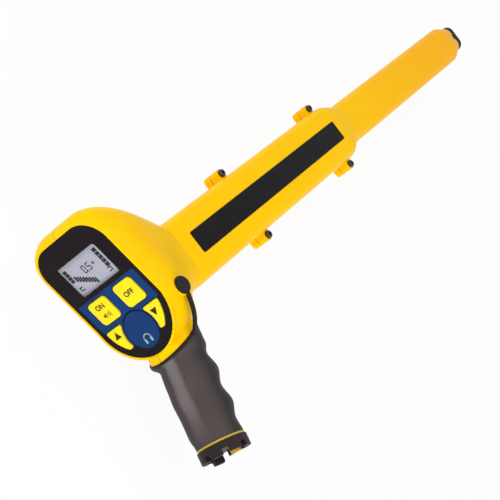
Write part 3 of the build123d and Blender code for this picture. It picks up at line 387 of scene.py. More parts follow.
@dataclass(frozen=True)
class Finish:
    """One finish: two tones with a cloudy change between them, a grain and a gloss."""

    name: str
    colour: Colour
    second: Colour
    roughness: float = 0.45
    spread: float = 0.1
    cloud: float = 200.0
    grain: float = 2600.0
    bump: float = 0.1
    bump_depth: float = 0.0004
    metallic: float = 0.0
    coat: float = 0.0
    coat_roughness: float = 0.12
    specular: float = 0.2
    sheen: float = 0.0
    scuffs: float = 0.0
    scuff_scale: float = 90.0
    scuff_tint: float = 0.5

    def start(self, effects: Effects) -> Surface:
        """Starts the material with the object's coordinates and a mottle in the finish's own scales.

        Args:
            effects: Shared node groups.

        Returns:
            The material in the making.
        """
        material = bpy.data.materials.new(self.name)
        material.use_nodes = True
        graph = Graph(material.node_tree)
        place = graph.place()
        mottle = graph.group(effects.mottle, {"Vector": place, "Cloud": self.cloud, "Grain": self.grain})
        return Surface(material, graph, effects, place, mottle["Tone"], mottle["Height"])

    def plain(self, surface: Surface) -> Socket:
        """Cloudy mix of the two tones."""
        return surface.graph.blend(surface.tone, self.colour, self.second)

    def base(self, surface: Surface) -> Socket:
        """Base colour, the cloudy mix unless a kind of finish adds to it."""
        return self.plain(surface)

    def make(self, effects: Effects) -> bpy.types.Material:
        """Builds the material.

        Args:
            effects: Shared node groups.

        Returns:
            The finished material.
        """
        surface = self.start(effects)
        graph = surface.graph
        colour = self.base(surface)
        smoothest = self.roughness - self.spread / 2
        rough = graph.math("MULTIPLY_ADD", surface.tone, self.spread, smoothest)
        if self.scuffs:
            scuff = graph.group(effects.scuff, {"Vector": surface.place, "Scale": self.scuff_scale})
            mark = graph.math("MULTIPLY", scuff["Mask"], self.scuffs)
            rough = graph.math("ADD", rough, mark)
            colour = graph.blend(graph.math("MULTIPLY", mark, self.scuff_tint), colour, self.second)
        bump = graph.add(
            "ShaderNodeBump",
            {"Strength": self.bump, "Distance": self.bump_depth, "Height": surface.height},
        )
        graph.principled(
            {
                "Base Color": colour,
                "Roughness": rough,
                "Metallic": self.metallic,
                "Coat Weight": self.coat,
                "Coat Roughness": self.coat_roughness,
                "Specular IOR Level": self.specular,
                "Sheen Weight": self.sheen,
                "Normal": bump.outputs[0],
            }
        )
        return surface.material


@dataclass(frozen=True)
class HousingFinish(Finish):
    """Moulded yellow that deepens a little along the narrow tube, in metres."""

    deep: Colour = srgb(255, 184, 8)
    deepening: Span = (-0.10, 0.24)

    def base(self, surface: Surface) -> Socket:
        """Yellow with a slow change of depth along the tube."""
        depth = surface.graph.step(surface.graph.axis(surface.place, "X"), *self.deepening)
        return surface.graph.blend(depth, self.plain(surface), self.deep)


@dataclass(frozen=True)
class SleeveFinish(Finish):
    """Grip rubber with a painted highlight on its back, painted shade away from its lit side and a painted
    shadow under the collar's rim.

    Turns are in degrees round the grip, depths in metres, and the other spans in shares from -1 to 1.
    """

    # Painted highlight: a pale band on the grip's back where the light falls, fading out down the grip.
    painted_highlight: Colour = srgb(112, 104, 105)
    highlight_turn: float = 169.0
    highlight_span: Span = (0.945, 1.012)
    highlight_wander: float = 0.02
    highlight_fade_span: Span = (0.122, 0.072)
    # Painted shade: the rubber darkens away from its lit side.
    painted_shade: Colour = srgb(41, 36, 36)
    lit_side_turn: float = 150.0
    lit_side_span: Span = (0.44, 0.98)
    lit_side_wander: float = 0.06
    # Painted shadow: a dark line just under the collar's rim, where the collar shades the rubber.
    rim: Colour = srgb(26, 22, 22)
    rim_shadow_span: Span = (0.0012, 0.0034)

    def toward(self, surface: Surface, turn: float, wander: float) -> Socket:
        """Finds how far a place looks to one side of the grip.

        Args:
            surface: The material in the making.
            turn: Turn of that side, in degrees from straight ahead.
            wander: How much the cloudy tone moves the result.

        Returns:
            The share, 1 on that side and -1 opposite.
        """
        graph = surface.graph
        ahead = graph.along(surface.place, GRIP.origin, GRIP.side(0.0))
        reach = graph.length(ahead, graph.axis(surface.place, "Z"))
        share = graph.math("DIVIDE", graph.along(surface.place, GRIP.origin, GRIP.side(turn)), reach)
        return graph.math("MULTIPLY_ADD", surface.tone, wander, share)

    def base(self, surface: Surface) -> Socket:
        """Tones of the rubber by the direction from the grip's axis and the depth under the collar's rim.

        Args:
            surface: The material in the making.

        Returns:
            Rubber tone with painted highlight and shade by the direction from the grip's axis, and painted
            shadow by the depth under the collar's rim.
        """
        graph = surface.graph
        # Painted highlight band on the grip's back.
        painted_highlight = graph.step(self.toward(surface, self.highlight_turn, self.highlight_wander), *self.highlight_span)
        highlight_fade = graph.step(graph.along(surface.place, GRIP.origin, GRIP.down), *self.highlight_fade_span)
        highlighted = graph.blend(graph.product(painted_highlight, highlight_fade), self.plain(surface), self.painted_highlight)
        # Painted shade away from the lit side.
        hand = graph.step(self.toward(surface, self.lit_side_turn, self.lit_side_wander), *self.lit_side_span)
        shaded = graph.blend(hand, self.painted_shade, highlighted)
        # Painted shadow just under the collar's rim.
        under = graph.step(graph.along(surface.place, COLLAR_RIM, COLLAR_DOWN), *self.rim_shadow_span)
        return graph.blend(under, self.rim, shaded)


@dataclass(frozen=True)
class PanelFilm(Finish):
    """Printed sheet: dark border, blue field and a dark ring round the disc. Sizes in millimetres."""

    blue: Colour = srgb(14, 57, 112)
    half_width: float = 32.6
    round_start: float = -8.2
    side_border: float = 3.2
    foot_border: float = 5.2
    border_change: Span = (-12.0, -9.0)
    field_top: float = 13.6
    field_foot: float = -27.5
    ring: float = 14.3
    edge: float = 0.2

    def past(self, graph: Graph, distance: Any, limit: float) -> Socket:
        """Share of the print past a limit, with a thin soft edge."""
        return graph.step(distance, limit - self.edge, limit + self.edge)

    def base(self, surface: Surface) -> Socket:
        """Colours of the print, laid out on the panel's face.

        Args:
            surface: The material in the making.

        Returns:
            The colour.
        """
        graph = surface.graph
        spot = graph.group(surface.effects.panel, {"Vector": surface.place})
        across, up = spot["Across"], spot["Up"]
        rounding = graph.math("MINIMUM", graph.math("SUBTRACT", up, self.round_start), 0.0)
        reach = graph.length(across, rounding)
        widening = self.foot_border - self.side_border
        slim = graph.math("MULTIPLY", graph.step(up, *self.border_change), widening)
        inward = graph.math("SUBTRACT", self.half_width - self.foot_border, reach)
        from_disc = graph.length(across, graph.math("SUBTRACT", up, DISC_UP))
        field_share = graph.product(
            self.past(graph, graph.math("ADD", inward, slim), 0.0),
            self.past(graph, graph.math("MULTIPLY", up, -1.0), -self.field_top),
            self.past(graph, up, self.field_foot),
            self.past(graph, from_disc, self.ring),
        )
        return graph.blend(field_share, self.plain(surface), self.blue)


@dataclass(frozen=True)
class DisplayFinish(Finish):
    """Grey liquid crystal with the faint grid of its electrodes. Pitch in millimetres."""

    pitch: float = 0.55
    line_share: float = 0.18
    faintness: float = 0.08

    def base(self, surface: Surface) -> Socket:
        """Cloudy grey crossed by a faint grid.

        Args:
            surface: The material in the making.

        Returns:
            The colour.
        """
        graph = surface.graph
        spot = graph.group(surface.effects.panel, {"Vector": surface.place})
        waves = [graph.math("PINGPONG", spot[way], self.pitch) for way in ("Across", "Up")]
        lines = graph.product(*(graph.step(wave, 0.0, self.pitch * self.line_share) for wave in waves))
        faint = graph.math("MULTIPLY_ADD", lines, self.faintness, 1 - self.faintness)
        return graph.blend(1.0, self.plain(surface), faint, "MULTIPLY")


@dataclass(frozen=True)
class WindowFinish(Finish):
    """Clear display window with a faint haze."""

    haze: float = 0.02
    haze_spread: float = 0.02

    def make(self, effects: Effects) -> bpy.types.Material:
        """Builds a thin clear material that lets the display show.

        Args:
            effects: Shared node groups.

        Returns:
            The finished material.
        """
        surface = self.start(effects)
        graph = surface.graph
        graph.principled(
            {
                "Base Color": self.colour,
                "Roughness": graph.math("MULTIPLY_ADD", surface.tone, self.spread, self.roughness),
                "Alpha": graph.math("MULTIPLY_ADD", surface.tone, self.haze_spread, self.haze),
                "Specular IOR Level": self.specular,
            }
        )
        return surface.material


class Palette:
    """Every finish of the locator, built once."""

    finishes: tuple[Finish, ...] = (
        HousingFinish(
            "housing_yellow", srgb(255, 203, 3), srgb(253, 197, 4),
            roughness=0.36, spread=0.08, cloud=22.0, grain=1800.0, bump=0.05, specular=0.045, scuffs=0.12,
        ),
        Finish("gasket_yellow", srgb(196, 146, 8), srgb(180, 132, 8), roughness=0.6, cloud=90.0, bump=0.15),
        Finish("gasket_black", srgb(40, 36, 30), srgb(54, 50, 42), roughness=0.7, cloud=90.0, bump=0.15),
        Finish(
            "screw_steel", srgb(52, 50, 54), srgb(78, 75, 78),
            roughness=0.38, spread=0.16, cloud=260.0, grain=3200.0, bump=0.12, metallic=0.85,
        ),
        Finish(
            "insert_brass", srgb(205, 165, 84), srgb(176, 134, 60),
            roughness=0.3, spread=0.12, cloud=220.0, grain=3000.0, metallic=1.0,
        ),
        Finish(
            "strip_black", srgb(13, 11, 13), srgb(19, 17, 19),
            roughness=0.36, cloud=60.0, grain=2400.0, bump=0.03, specular=0.06,
        ),
        Finish(
            "tip_black", srgb(20, 17, 19), srgb(30, 27, 29),
            roughness=0.5, spread=0.12, cloud=120.0, grain=2400.0, bump=0.16, specular=0.08,
        ),
        Finish(
            "plate_black", srgb(30, 27, 31), srgb(42, 38, 42),
            roughness=0.5, cloud=120.0, grain=2400.0, bump=0.12,
        ),
        PanelFilm(
            "overlay_film", srgb(20, 14, 18), srgb(28, 22, 25),
            roughness=0.36, spread=0.08, cloud=70.0, grain=2800.0, bump=0.04, specular=0.08,
        ),
        WindowFinish(
            "window_clear", srgb(190, 192, 204), srgb(190, 192, 204),
            roughness=0.06, spread=0.05, cloud=50.0, grain=900.0,
        ),
        DisplayFinish(
            "display_grey", srgb(180, 180, 194), srgb(168, 168, 183),
            roughness=0.4, spread=0.06, cloud=60.0, grain=1200.0, bump=0.02,
        ),
        Finish("segment_black", srgb(10, 9, 13), srgb(18, 17, 21), spread=0.08, bump=0.05, specular=0.05),
        Finish("key_yellow", srgb(249, 226, 10), srgb(243, 219, 12), roughness=0.42, cloud=90.0, bump=0.07),
        Finish("legend_black", srgb(40, 35, 22), srgb(52, 46, 30), roughness=0.5, spread=0.08, bump=0.05),
        Finish(
            "legend_pale", srgb(146, 174, 160), srgb(126, 156, 148),
            roughness=0.5, spread=0.08, bump=0.05,
        ),
        Finish(
            "cover_blue", srgb(14, 56, 106), srgb(20, 50, 110),
            roughness=0.38, cloud=80.0, grain=2400.0, bump=0.05, specular=0.09,
        ),
        Finish(
            "speaker_black", srgb(38, 38, 40), srgb(54, 53, 55),
            roughness=0.5, cloud=160.0, grain=2400.0, bump=0.2,
        ),
        Finish(
            "board_green", srgb(24, 92, 52), srgb(32, 110, 64),
            roughness=0.35, spread=0.12, cloud=300.0, coat=0.3,
        ),
        Finish(
            "chip_black", srgb(28, 28, 30), srgb(42, 42, 44),
            roughness=0.55, cloud=300.0, grain=3200.0, bump=0.2,
        ),
        Finish("switch_grey", srgb(84, 86, 90), srgb(104, 105, 108), cloud=260.0, grain=3000.0),
        Finish(
            "contact_nickel", srgb(196, 190, 178), srgb(166, 160, 150),
            roughness=0.28, spread=0.14, cloud=240.0, grain=3200.0, bump=0.12, metallic=1.0,
        ),
        Finish("jack_black", srgb(32, 32, 34), srgb(46, 45, 48)),
        Finish(
            "plug_rubber", srgb(26, 21, 21), srgb(36, 31, 30),
            roughness=0.55, spread=0.14, cloud=140.0, bump=0.25, specular=0.1, sheen=0.03,
        ),
        # This finish paints light into its colour: a highlight, shade and a shadow under the collar's rim.
        SleeveFinish(
            "sleeve_rubber", srgb(75, 66, 66), srgb(68, 59, 59),
            roughness=0.5, spread=0.14, cloud=55.0, grain=2200.0, bump=0.22, specular=0.14,
        ),
        Finish(
            "core_yellow", srgb(208, 180, 62), srgb(194, 166, 56),
            roughness=0.42, cloud=90.0, grain=2400.0, bump=0.08,
        ),
        Finish("carrier_black", srgb(32, 32, 34), srgb(46, 45, 48), roughness=0.5, cloud=160.0, bump=0.15),
        Finish(
            "cell_sleeve", srgb(92, 98, 110), srgb(112, 116, 126),
            roughness=0.3, cloud=120.0, grain=2400.0, bump=0.05, metallic=0.3,
        ),
        Finish(
            "cap_black", srgb(32, 24, 25), srgb(42, 33, 34),
            roughness=0.5, spread=0.14, cloud=110.0, grain=2400.0, bump=0.2, specular=0.14, scuffs=0.15,
        ),
        Finish("cap_orange", srgb(255, 192, 60), srgb(242, 176, 54), cloud=120.0, grain=2400.0, bump=0.12),
        Finish(
            "tube_composite", srgb(200, 196, 178), srgb(184, 178, 158),
            roughness=0.5, spread=0.12, cloud=60.0, grain=1800.0, bump=0.25,
        ),
        Finish(
            "support_foam", srgb(98, 98, 102), srgb(80, 80, 84),
            roughness=0.85, cloud=160.0, grain=900.0, bump=0.6,
        ),
        Finish("bobbin_white", srgb(228, 226, 218), srgb(214, 211, 202), cloud=160.0),
        Finish(
            "coil_copper", srgb(196, 120, 72), srgb(172, 98, 56),
            roughness=0.3, spread=0.14, grain=3200.0, bump=0.3, metallic=1.0,
        ),
        Finish("lead_red", srgb(170, 38, 34), srgb(150, 30, 28), roughness=0.4),
        Finish("lead_grey", srgb(96, 96, 100), srgb(80, 80, 84)),
    )

    def __init__(self, effects: Effects) -> None:
        """Builds the materials by name."""
        self.materials = {finish.name: finish.make(effects) for finish in self.finishes}

    def dress(self, piece: Piece, name: str) -> None:
        """Gives a piece one finish all over."""
        piece.data.materials.clear()
        piece.data.materials.append(self.materials[name])

    def dress_nodes(self) -> None:
        """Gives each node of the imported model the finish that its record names."""
        for part in frame["record"]["subparts"]:
            material = self.materials[part["material_slot"]]
            for slot in frame["nodes"][part["node"]].material_slots:
                slot.material = material
            log.info("node %s: %s", part["node"], material.name)


@dataclass(frozen=True)
class Bar:
    """One flat bar of a sign: its middle, width and height, in millimetres."""

    across: float
    up: float
    width: float
    height: float

    def moved(self, across: float, up: float) -> "Bar":
        """The same bar, moved across and up."""
        return Bar(self.across + across, self.up + up, self.width, self.height)


class Maker:
    """Shapes small pieces by hand in edit mode. Print sizes in millimetres, as shares where named so."""

    print_rise: float = 0.06
    print_sink: float = 0.02
    bar_bevel_share: float = 0.22
    arrow_bevel_share: float = 0.2
    letter_weight_share: float = 0.03
    letter_steps: int = 6
    merge_distance: float = 1e-6

    def __init__(self, palette: Palette) -> None:
        """Keeps the palette for dressing."""
        self.palette = palette

    def start(self, name: str, add: Callable[[], Any]) -> Piece:
        """Adds a primitive with nothing else selected.

        Args:
            name: Name of the piece.
            add: Call that adds the primitive.

        Returns:
            The new piece.
        """
        bpy.ops.object.select_all(action="DESELECT")
        add()
        piece = bpy.context.object
        piece.name = name
        piece.data.name = name
        return piece

    def edit(self, *steps: Callable[[], Any]) -> None:
        """Runs steps on the active piece in edit mode, each with everything selected.

        Args:
            *steps: Calls of edit mode operators.
        """
        bpy.ops.object.mode_set(mode="EDIT")
        for step in steps:
            bpy.ops.mesh.select_all(action="SELECT")
            step()
        bpy.ops.object.mode_set(mode="OBJECT")

    def soften(self, offset: float) -> None:
        """Bevels all edges of the active piece by an offset in millimetres."""
        self.edit(lambda: bpy.ops.mesh.bevel(offset=offset * MM, segments=1, affect="EDGES"))

    def bar(self, name: str, width: float, height: float) -> Piece:
        """Makes one printed bar with softened edges, standing on its own plane.

        Args:
            name: Name of the piece.
            width: Width in millimetres.
            height: Height in millimetres.

        Returns:
            The bar.
        """
        rise = self.print_rise
        middle = (0, 0, rise * MM / 2)
        piece = self.start(name, lambda: bpy.ops.mesh.primitive_cube_add(size=MM, location=middle))
        self.edit(lambda: bpy.ops.transform.resize(value=(width, height, rise)))
        self.soften(min(width, height, rise) * self.bar_bevel_share)
        return piece

    def arrow(self, name: str, radius: float) -> Piece:
        """Makes a three-cornered mark that points up, standing on its own plane.

        Args:
            name: Name of the piece.
            radius: Distance of its corners from its middle, in millimetres.

        Returns:
            The mark.
        """
        rise = self.print_rise * MM
        piece = self.start(
            name,
            lambda: bpy.ops.mesh.primitive_cylinder_add(
                vertices=3, radius=radius * MM, depth=rise, location=(0, 0, rise / 2)
            ),
        )
        self.soften(self.print_rise * self.arrow_bevel_share)
        return piece

    def word(self, name: str, text: str, size: float) -> Piece:
        """Makes printed lettering as a mesh, centred on its own plane.

        Args:
            name: Name of the piece.
            text: The letters.
            size: Letter size in millimetres.

        Returns:
            The lettering.
        """
        piece = self.start(name, lambda: bpy.ops.object.text_add())
        letters = piece.data
        letters.body = text
        letters.align_x = "CENTER"
        letters.align_y = "CENTER"
        letters.size = size * MM
        letters.extrude = self.print_rise * MM / 2
        letters.offset = size * MM * self.letter_weight_share
        letters.resolution_u = self.letter_steps
        bpy.ops.object.convert(target="MESH")
        piece = bpy.context.object
        piece.name = name
        return self.place(piece, Matrix.Translation((0, 0, self.print_rise * MM / 2)))

    def spun(
        self, name: str, middle: Vector, section: Span, axis: Sequence[float], angle: float, steps: int
    ) -> Piece:
        """Stands a rectangle up across the Y axis and spins it round an axis through the origin.

        Args:
            name: Name of the piece.
            middle: Middle of the rectangle, in metres.
            section: Width along X and height along Z, in millimetres.
            axis: Axis of the spin.
            angle: Angle of the spin, in radians.
            steps: Number of steps.

        Returns:
            The closed piece, with its place in its mesh.
        """
        width, height = section
        piece = self.start(name, lambda: bpy.ops.mesh.primitive_plane_add(size=MM, location=middle))
        self.edit(
            lambda: bpy.ops.transform.rotate(value=math.pi / 2, orient_axis="X", center_override=middle),
            lambda: bpy.ops.transform.resize(value=(width, 1.0, height), center_override=middle),
            lambda: bpy.ops.mesh.spin(steps=steps, angle=angle, center=(0, 0, 0), axis=axis),
            lambda: bpy.ops.mesh.remove_doubles(threshold=self.merge_distance),
            lambda: bpy.ops.mesh.normals_make_consistent(inside=False),
        )
        return self.place(piece, Matrix.Identity(4))

    def place(self, piece: Piece, matrix: Matrix) -> Piece:
        """Moves a piece's mesh to its place and leaves its object at the origin.

        Args:
            piece: The piece.
            matrix: Its place.

        Returns:
            The same piece.
        """
        piece.data.transform(matrix @ piece.matrix_world)
        piece.matrix_world = Matrix.Identity(4)
        piece.data.update()
        return piece

    def lay(self, name: str, bars: Sequence[Bar], face: Face, depth: float) -> list[Piece]:
        """Makes the bars of a sign and lays them on a face.

        Args:
            name: Name of the bars.
            bars: The bars, in the face's own millimetres.
            face: Face to lay them on.
            depth: Depth of the carrying surface below the face, in millimetres.

        Returns:
            The bars.
        """
        depth += self.print_sink
        return [
            self.place(self.bar(name, bar.width, bar.height), face.matrix(bar.across, bar.up, depth))
            for bar in bars
        ]

    def join(self, name: str, pieces: Sequence[Piece]) -> Piece:
        """Joins pieces into one.

        Args:
            name: Name of the joined piece.
            pieces: The pieces.

        Returns:
            The joined piece.
        """
        bpy.ops.object.select_all(action="DESELECT")
        for piece in pieces:
            piece.select_set(True)
        bpy.context.view_layer.objects.active = pieces[0]
        bpy.ops.object.join()
        joined = bpy.context.object
        joined.name = name
        joined.data.name = name
        return joined

    def finish(self, piece: Piece, finish: str, slot: str, body: Body) -> None:
        """Dresses a piece and sets it on its body.

        Args:
            piece: The piece.
            finish: Name of its finish.
            slot: Not used.
            body: Body that it rides on.
        """
        self.palette.dress(piece, finish)
        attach(piece, body.value)
        log.info("piece %s on %s", piece.name, body.value)


@dataclass
class Display:
    """Lit segments of the display: blocks, stepped bars, small signs and figures. In millimetres."""

    maker: Maker
    up: float = 29.1
    depth: float = 2.2
    figure_up: float = 2.3
    stroke_width: float = 2.5
    stroke_height: float = 2.6
    stroke_line: float = 0.75
    stroke_gap: float = 0.1
    figures: tuple[tuple[float, str], ...] = ((-2.6, "abcdef"), (2.2, "afgcd"), (6.8, "g+"))
    point: Bar = Bar(-0.2, -0.2, 0.8, 0.8)
    right_block: Bar = Bar(15.2, 8.3, 3.6, 2.8)
    right_blocks: int = 5
    right_pitch: float = -3.1
    left_block: Bar = Bar(-17.5, 8.1, 3.4, 2.4)
    left_blocks: int = 4
    left_pitch: float = -2.6
    step_bar: Bar = Bar(-14.0, 0.3, 1.6, 4.4)
    step_bars: int = 8
    step_pitch: Span = (1.85, -1.2)
    signs: tuple[Bar, ...] = (
        Bar(14.2, -6.2, 3.4, 0.9), Bar(15.4, -7.9, 1.0, 2.9), Bar(13.3, -8.9, 2.4, 0.9),
        Bar(-16.4, -5.9, 3.2, 0.9), Bar(-17.4, -7.4, 1.0, 2.6), Bar(-15.4, -8.3, 2.0, 1.0),
    )

    def figure(self, middle: float, lit: str) -> list[Bar]:
        """Finds the lit strokes of one seven-stroke figure.

        Args:
            middle: Its middle across the display.
            lit: Letters of the lit strokes; a plus adds the upright of a plus sign.

        Returns:
            The strokes.
        """
        wide, tall, line = self.stroke_width, self.stroke_height, self.stroke_line
        upright = tall - self.stroke_gap
        strokes = {
            "a": Bar(0, tall, wide, line),
            "b": Bar(wide / 2, tall / 2, line, upright),
            "c": Bar(wide / 2, -tall / 2, line, upright),
            "d": Bar(0, -tall, wide, line),
            "e": Bar(-wide / 2, -tall / 2, line, upright),
            "f": Bar(-wide / 2, tall / 2, line, upright),
            "g": Bar(0, 0, wide, line),
            "+": Bar(0, 0, line, wide),
        }
        return [strokes[letter].moved(middle, self.figure_up) for letter in lit]

    def build(self) -> None:
        """Builds all segments as one piece."""
        step_across, step_up = self.step_pitch
        bars = [self.right_block.moved(0, self.right_pitch * row) for row in range(self.right_blocks)]
        bars += [self.left_block.moved(0, self.left_pitch * row) for row in range(self.left_blocks)]
        bars += [self.step_bar.moved(step_across * row, step_up * row) for row in range(self.step_bars)]
        bars += self.signs
        for middle, lit in self.figures:
            bars += self.figure(middle, lit)
        bars.append(self.point)
        pieces = self.maker.lay("segment", [bar.moved(0, self.up) for bar in bars], PANEL, self.depth)
        joined = self.maker.join("display_segments", pieces)
        self.maker.finish(joined, "segment_black", "chip_black", Body.HOUSING)


@dataclass
class KeyPrint:
    """Words and sound mark on the square keys, and an arrow on each wedge key. In millimetres."""

    maker: Maker
    proud: float = 1.2
    square_across: float = 13.6
    square_up: float = 2.3
    letter_size: float = 5.2
    on_word_up: float = 3.6
    sound_up: float = -3.2
    sound_bars: tuple[Bar, ...] = (
        Bar(-2.6, 0.0, 1.5, 1.7), Bar(-1.1, 0.0, 1.0, 3.4), Bar(0.9, 0.0, 0.5, 2.2),
        Bar(2.1, 0.0, 0.5, 3.2), Bar(3.3, 0.0, 0.5, 4.2),
    )
    arrow_across: float = 19.6
    arrow_up: float = -16.6
    arrow_radius: float = 3.5

    def build(self) -> None:
        """Builds the print of all four keys."""
        self.build_on_key()
        self.build_off_key()
        self.build_wedge_key(Body.UP_KEY, -1, 0.0)
        self.build_wedge_key(Body.DOWN_KEY, 1, 180.0)

    def put(self, piece: Piece, face: Face, across: float, up: float, turn: float = 0.0) -> Piece:
        """Lays a piece of print on a key's top."""
        return self.maker.place(piece, face.matrix(across, up, self.maker.print_sink - self.proud, turn))

    def build_on_key(self) -> None:
        """Builds the word and the sound mark of the left square key."""
        word = self.maker.word("on_word", "ON", self.letter_size)
        pieces = [self.put(word, PANEL, -self.square_across, self.square_up + self.on_word_up)]
        bars = [bar.moved(-self.square_across, self.square_up + self.sound_up) for bar in self.sound_bars]
        pieces += self.maker.lay("sound_mark", bars, PANEL, -self.proud)
        joined = self.maker.join("on_legend", pieces)
        self.maker.finish(joined, "legend_black", "chip_black", Body.ON_KEY)

    def build_off_key(self) -> None:
        """Builds the word of the right square key."""
        word = self.maker.word("off_legend", "OFF", self.letter_size)
        self.put(word, PANEL, self.square_across, self.square_up)
        self.maker.finish(word, "legend_black", "chip_black", Body.OFF_KEY)

    def build_wedge_key(self, body: Body, side: int, turn: float) -> None:
        """Builds the arrow of one wedge key.

        Args:
            body: Body of the key.
            side: -1 for the left key and 1 for the right one.
            turn: Turn of the arrow from pointing up, in degrees.
        """
        arrow = self.maker.arrow(f"{body.value}_mark", self.arrow_radius)
        rise = (self.arrow_up - DISC_UP) / math.cos(PANEL_BEND)
        self.put(arrow, DISC, side * self.arrow_across, rise, turn)
        self.maker.finish(arrow, "legend_black", "chip_black", body)


@dataclass
class DiscPrint:
    """Headphone mark on the disc: a half round band and two ear cups. In millimetres."""

    maker: Maker
    proud: float = 0.4
    across: float = 0.2
    up: float = -6.8
    band_radius: float = 3.1
    band_line: float = 0.9
    band_steps: int = 16
    cup_inset: float = 0.45
    cup_drop: float = 1.6
    cup_width: float = 1.9
    cup_height: float = 3.1

    def build(self) -> None:
        """Builds the mark as one piece."""
        rise, sink = self.maker.print_rise, self.maker.print_sink
        middle = Vector((self.band_radius, 0, rise / 2)) * MM
        section = (self.band_line, rise)
        band = self.maker.spun("phones_band", middle, section, (0, 0, 1), math.pi, self.band_steps)
        below = sum(vertex.co.y for vertex in band.data.vertices) < 0
        turn = 180.0 if below else 0.0
        pieces = [self.maker.place(band, DISC.matrix(self.across, self.up, sink - self.proud, turn))]
        spread = self.band_radius - self.cup_inset
        cups = [
            Bar(self.across + side * spread, self.up - self.cup_drop, self.cup_width, self.cup_height)
            for side in (-1, 1)
        ]
        pieces += self.maker.lay("phones_cup", cups, DISC, -self.proud)
        joined = self.maker.join("phones_mark", pieces)
        self.maker.finish(joined, "legend_pale", "bobbin_white", Body.HOUSING)


@dataclass
class PlugStrap:
    """Moulded strap from the socket's plug down the head's side to the grip's collar.

    Lengths are in millimetres and angles in degrees. The arc starts at the angle first, at the plug,
    where it thins and lifts over plug_share of its length. The places still and free are each given as Y
    and Z.
    """

    maker: Maker
    x: float = -322.5
    centre_y: float = -14.5
    centre_z: float = 0.8
    slant: float = -4.0
    radius: float = 36.0
    thickness: float = 2.0
    width: float = 3.3
    first: float = 8.4
    last: float = 57.0
    steps: int = 28
    lift: float = 0.8
    thinning: float = 0.4
    plug_share: float = 0.2
    round_share: float = 0.28
    round_steps: int = 3
    smooth_angle: float = 50.0
    still: Span = (-35.0, 30.0)
    free: Span = (-21.6, 36.2)

    def build(self) -> None:
        """Spins the section round the head's side, shapes, rounds and dresses it, and hides the imported
        tether.
        """
        sweep = math.radians(self.last - self.first)
        middle = Vector((0, 0, self.radius)) * MM
        section = (self.width, self.thickness)
        piece = self.maker.spun("plug_strap", middle, section, (1, 0, 0), sweep, self.steps)
        self.shape(piece, sweep)
        self.round_edges(piece)
        self.maker.palette.dress(piece, "plug_rubber")
        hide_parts("plug_tether")
        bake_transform(piece)
        log.info("piece %s between %s and %s", piece.name, Body.HOUSING.value, Body.PLUG.value)

    def shape(self, piece: Piece, sweep: float) -> None:
        """Takes the spun arc to the head's side and thins its end into the plug's rim.

        Args:
            piece: The spun arc round the X axis.
            sweep: Its angle, in radians.
        """
        points = [vertex.co.copy() for vertex in piece.data.vertices]
        flip = -1 if sum(point.y for point in points) > 0 else 1
        lean = math.radians(self.slant)
        centre = Vector((self.x, self.centre_y, self.centre_z))
        along = Vector((math.sin(lean), -math.cos(lean), 0))
        side = Vector((math.cos(lean), math.sin(lean), 0))
        for vertex, point in zip(piece.data.vertices, points):
            angle = math.atan2(-flip * point.y, point.z)
            near = max(0.0, 1 - angle / sweep / self.plug_share) ** 2
            beyond = math.hypot(point.y, point.z) / MM - self.radius
            reach = self.radius + beyond * (1 - self.thinning * near) + self.lift * near
            turn = math.radians(self.first) + angle
            place = centre + along * (reach * math.sin(turn)) + side * (point.x / MM)
            vertex.co = (place + Vector((0, 0, reach * math.cos(turn)))) * MM

    def round_edges(self, piece: Piece) -> None:
        """Turns the faces outwards and rounds the strap's edges.

        Args:
            piece: The shaped strap.
        """
        self.maker.edit(lambda: bpy.ops.mesh.normals_make_consistent(inside=False))
        bevel = piece.modifiers.new("round", "BEVEL")
        bevel.width = self.thickness * MM * self.round_share
        bevel.segments = self.round_steps
        bevel.limit_method = "ANGLE"
        bpy.ops.object.modifier_apply(modifier=bevel.name)
        bpy.ops.object.shade_smooth_by_angle(angle=math.radians(self.smooth_angle))


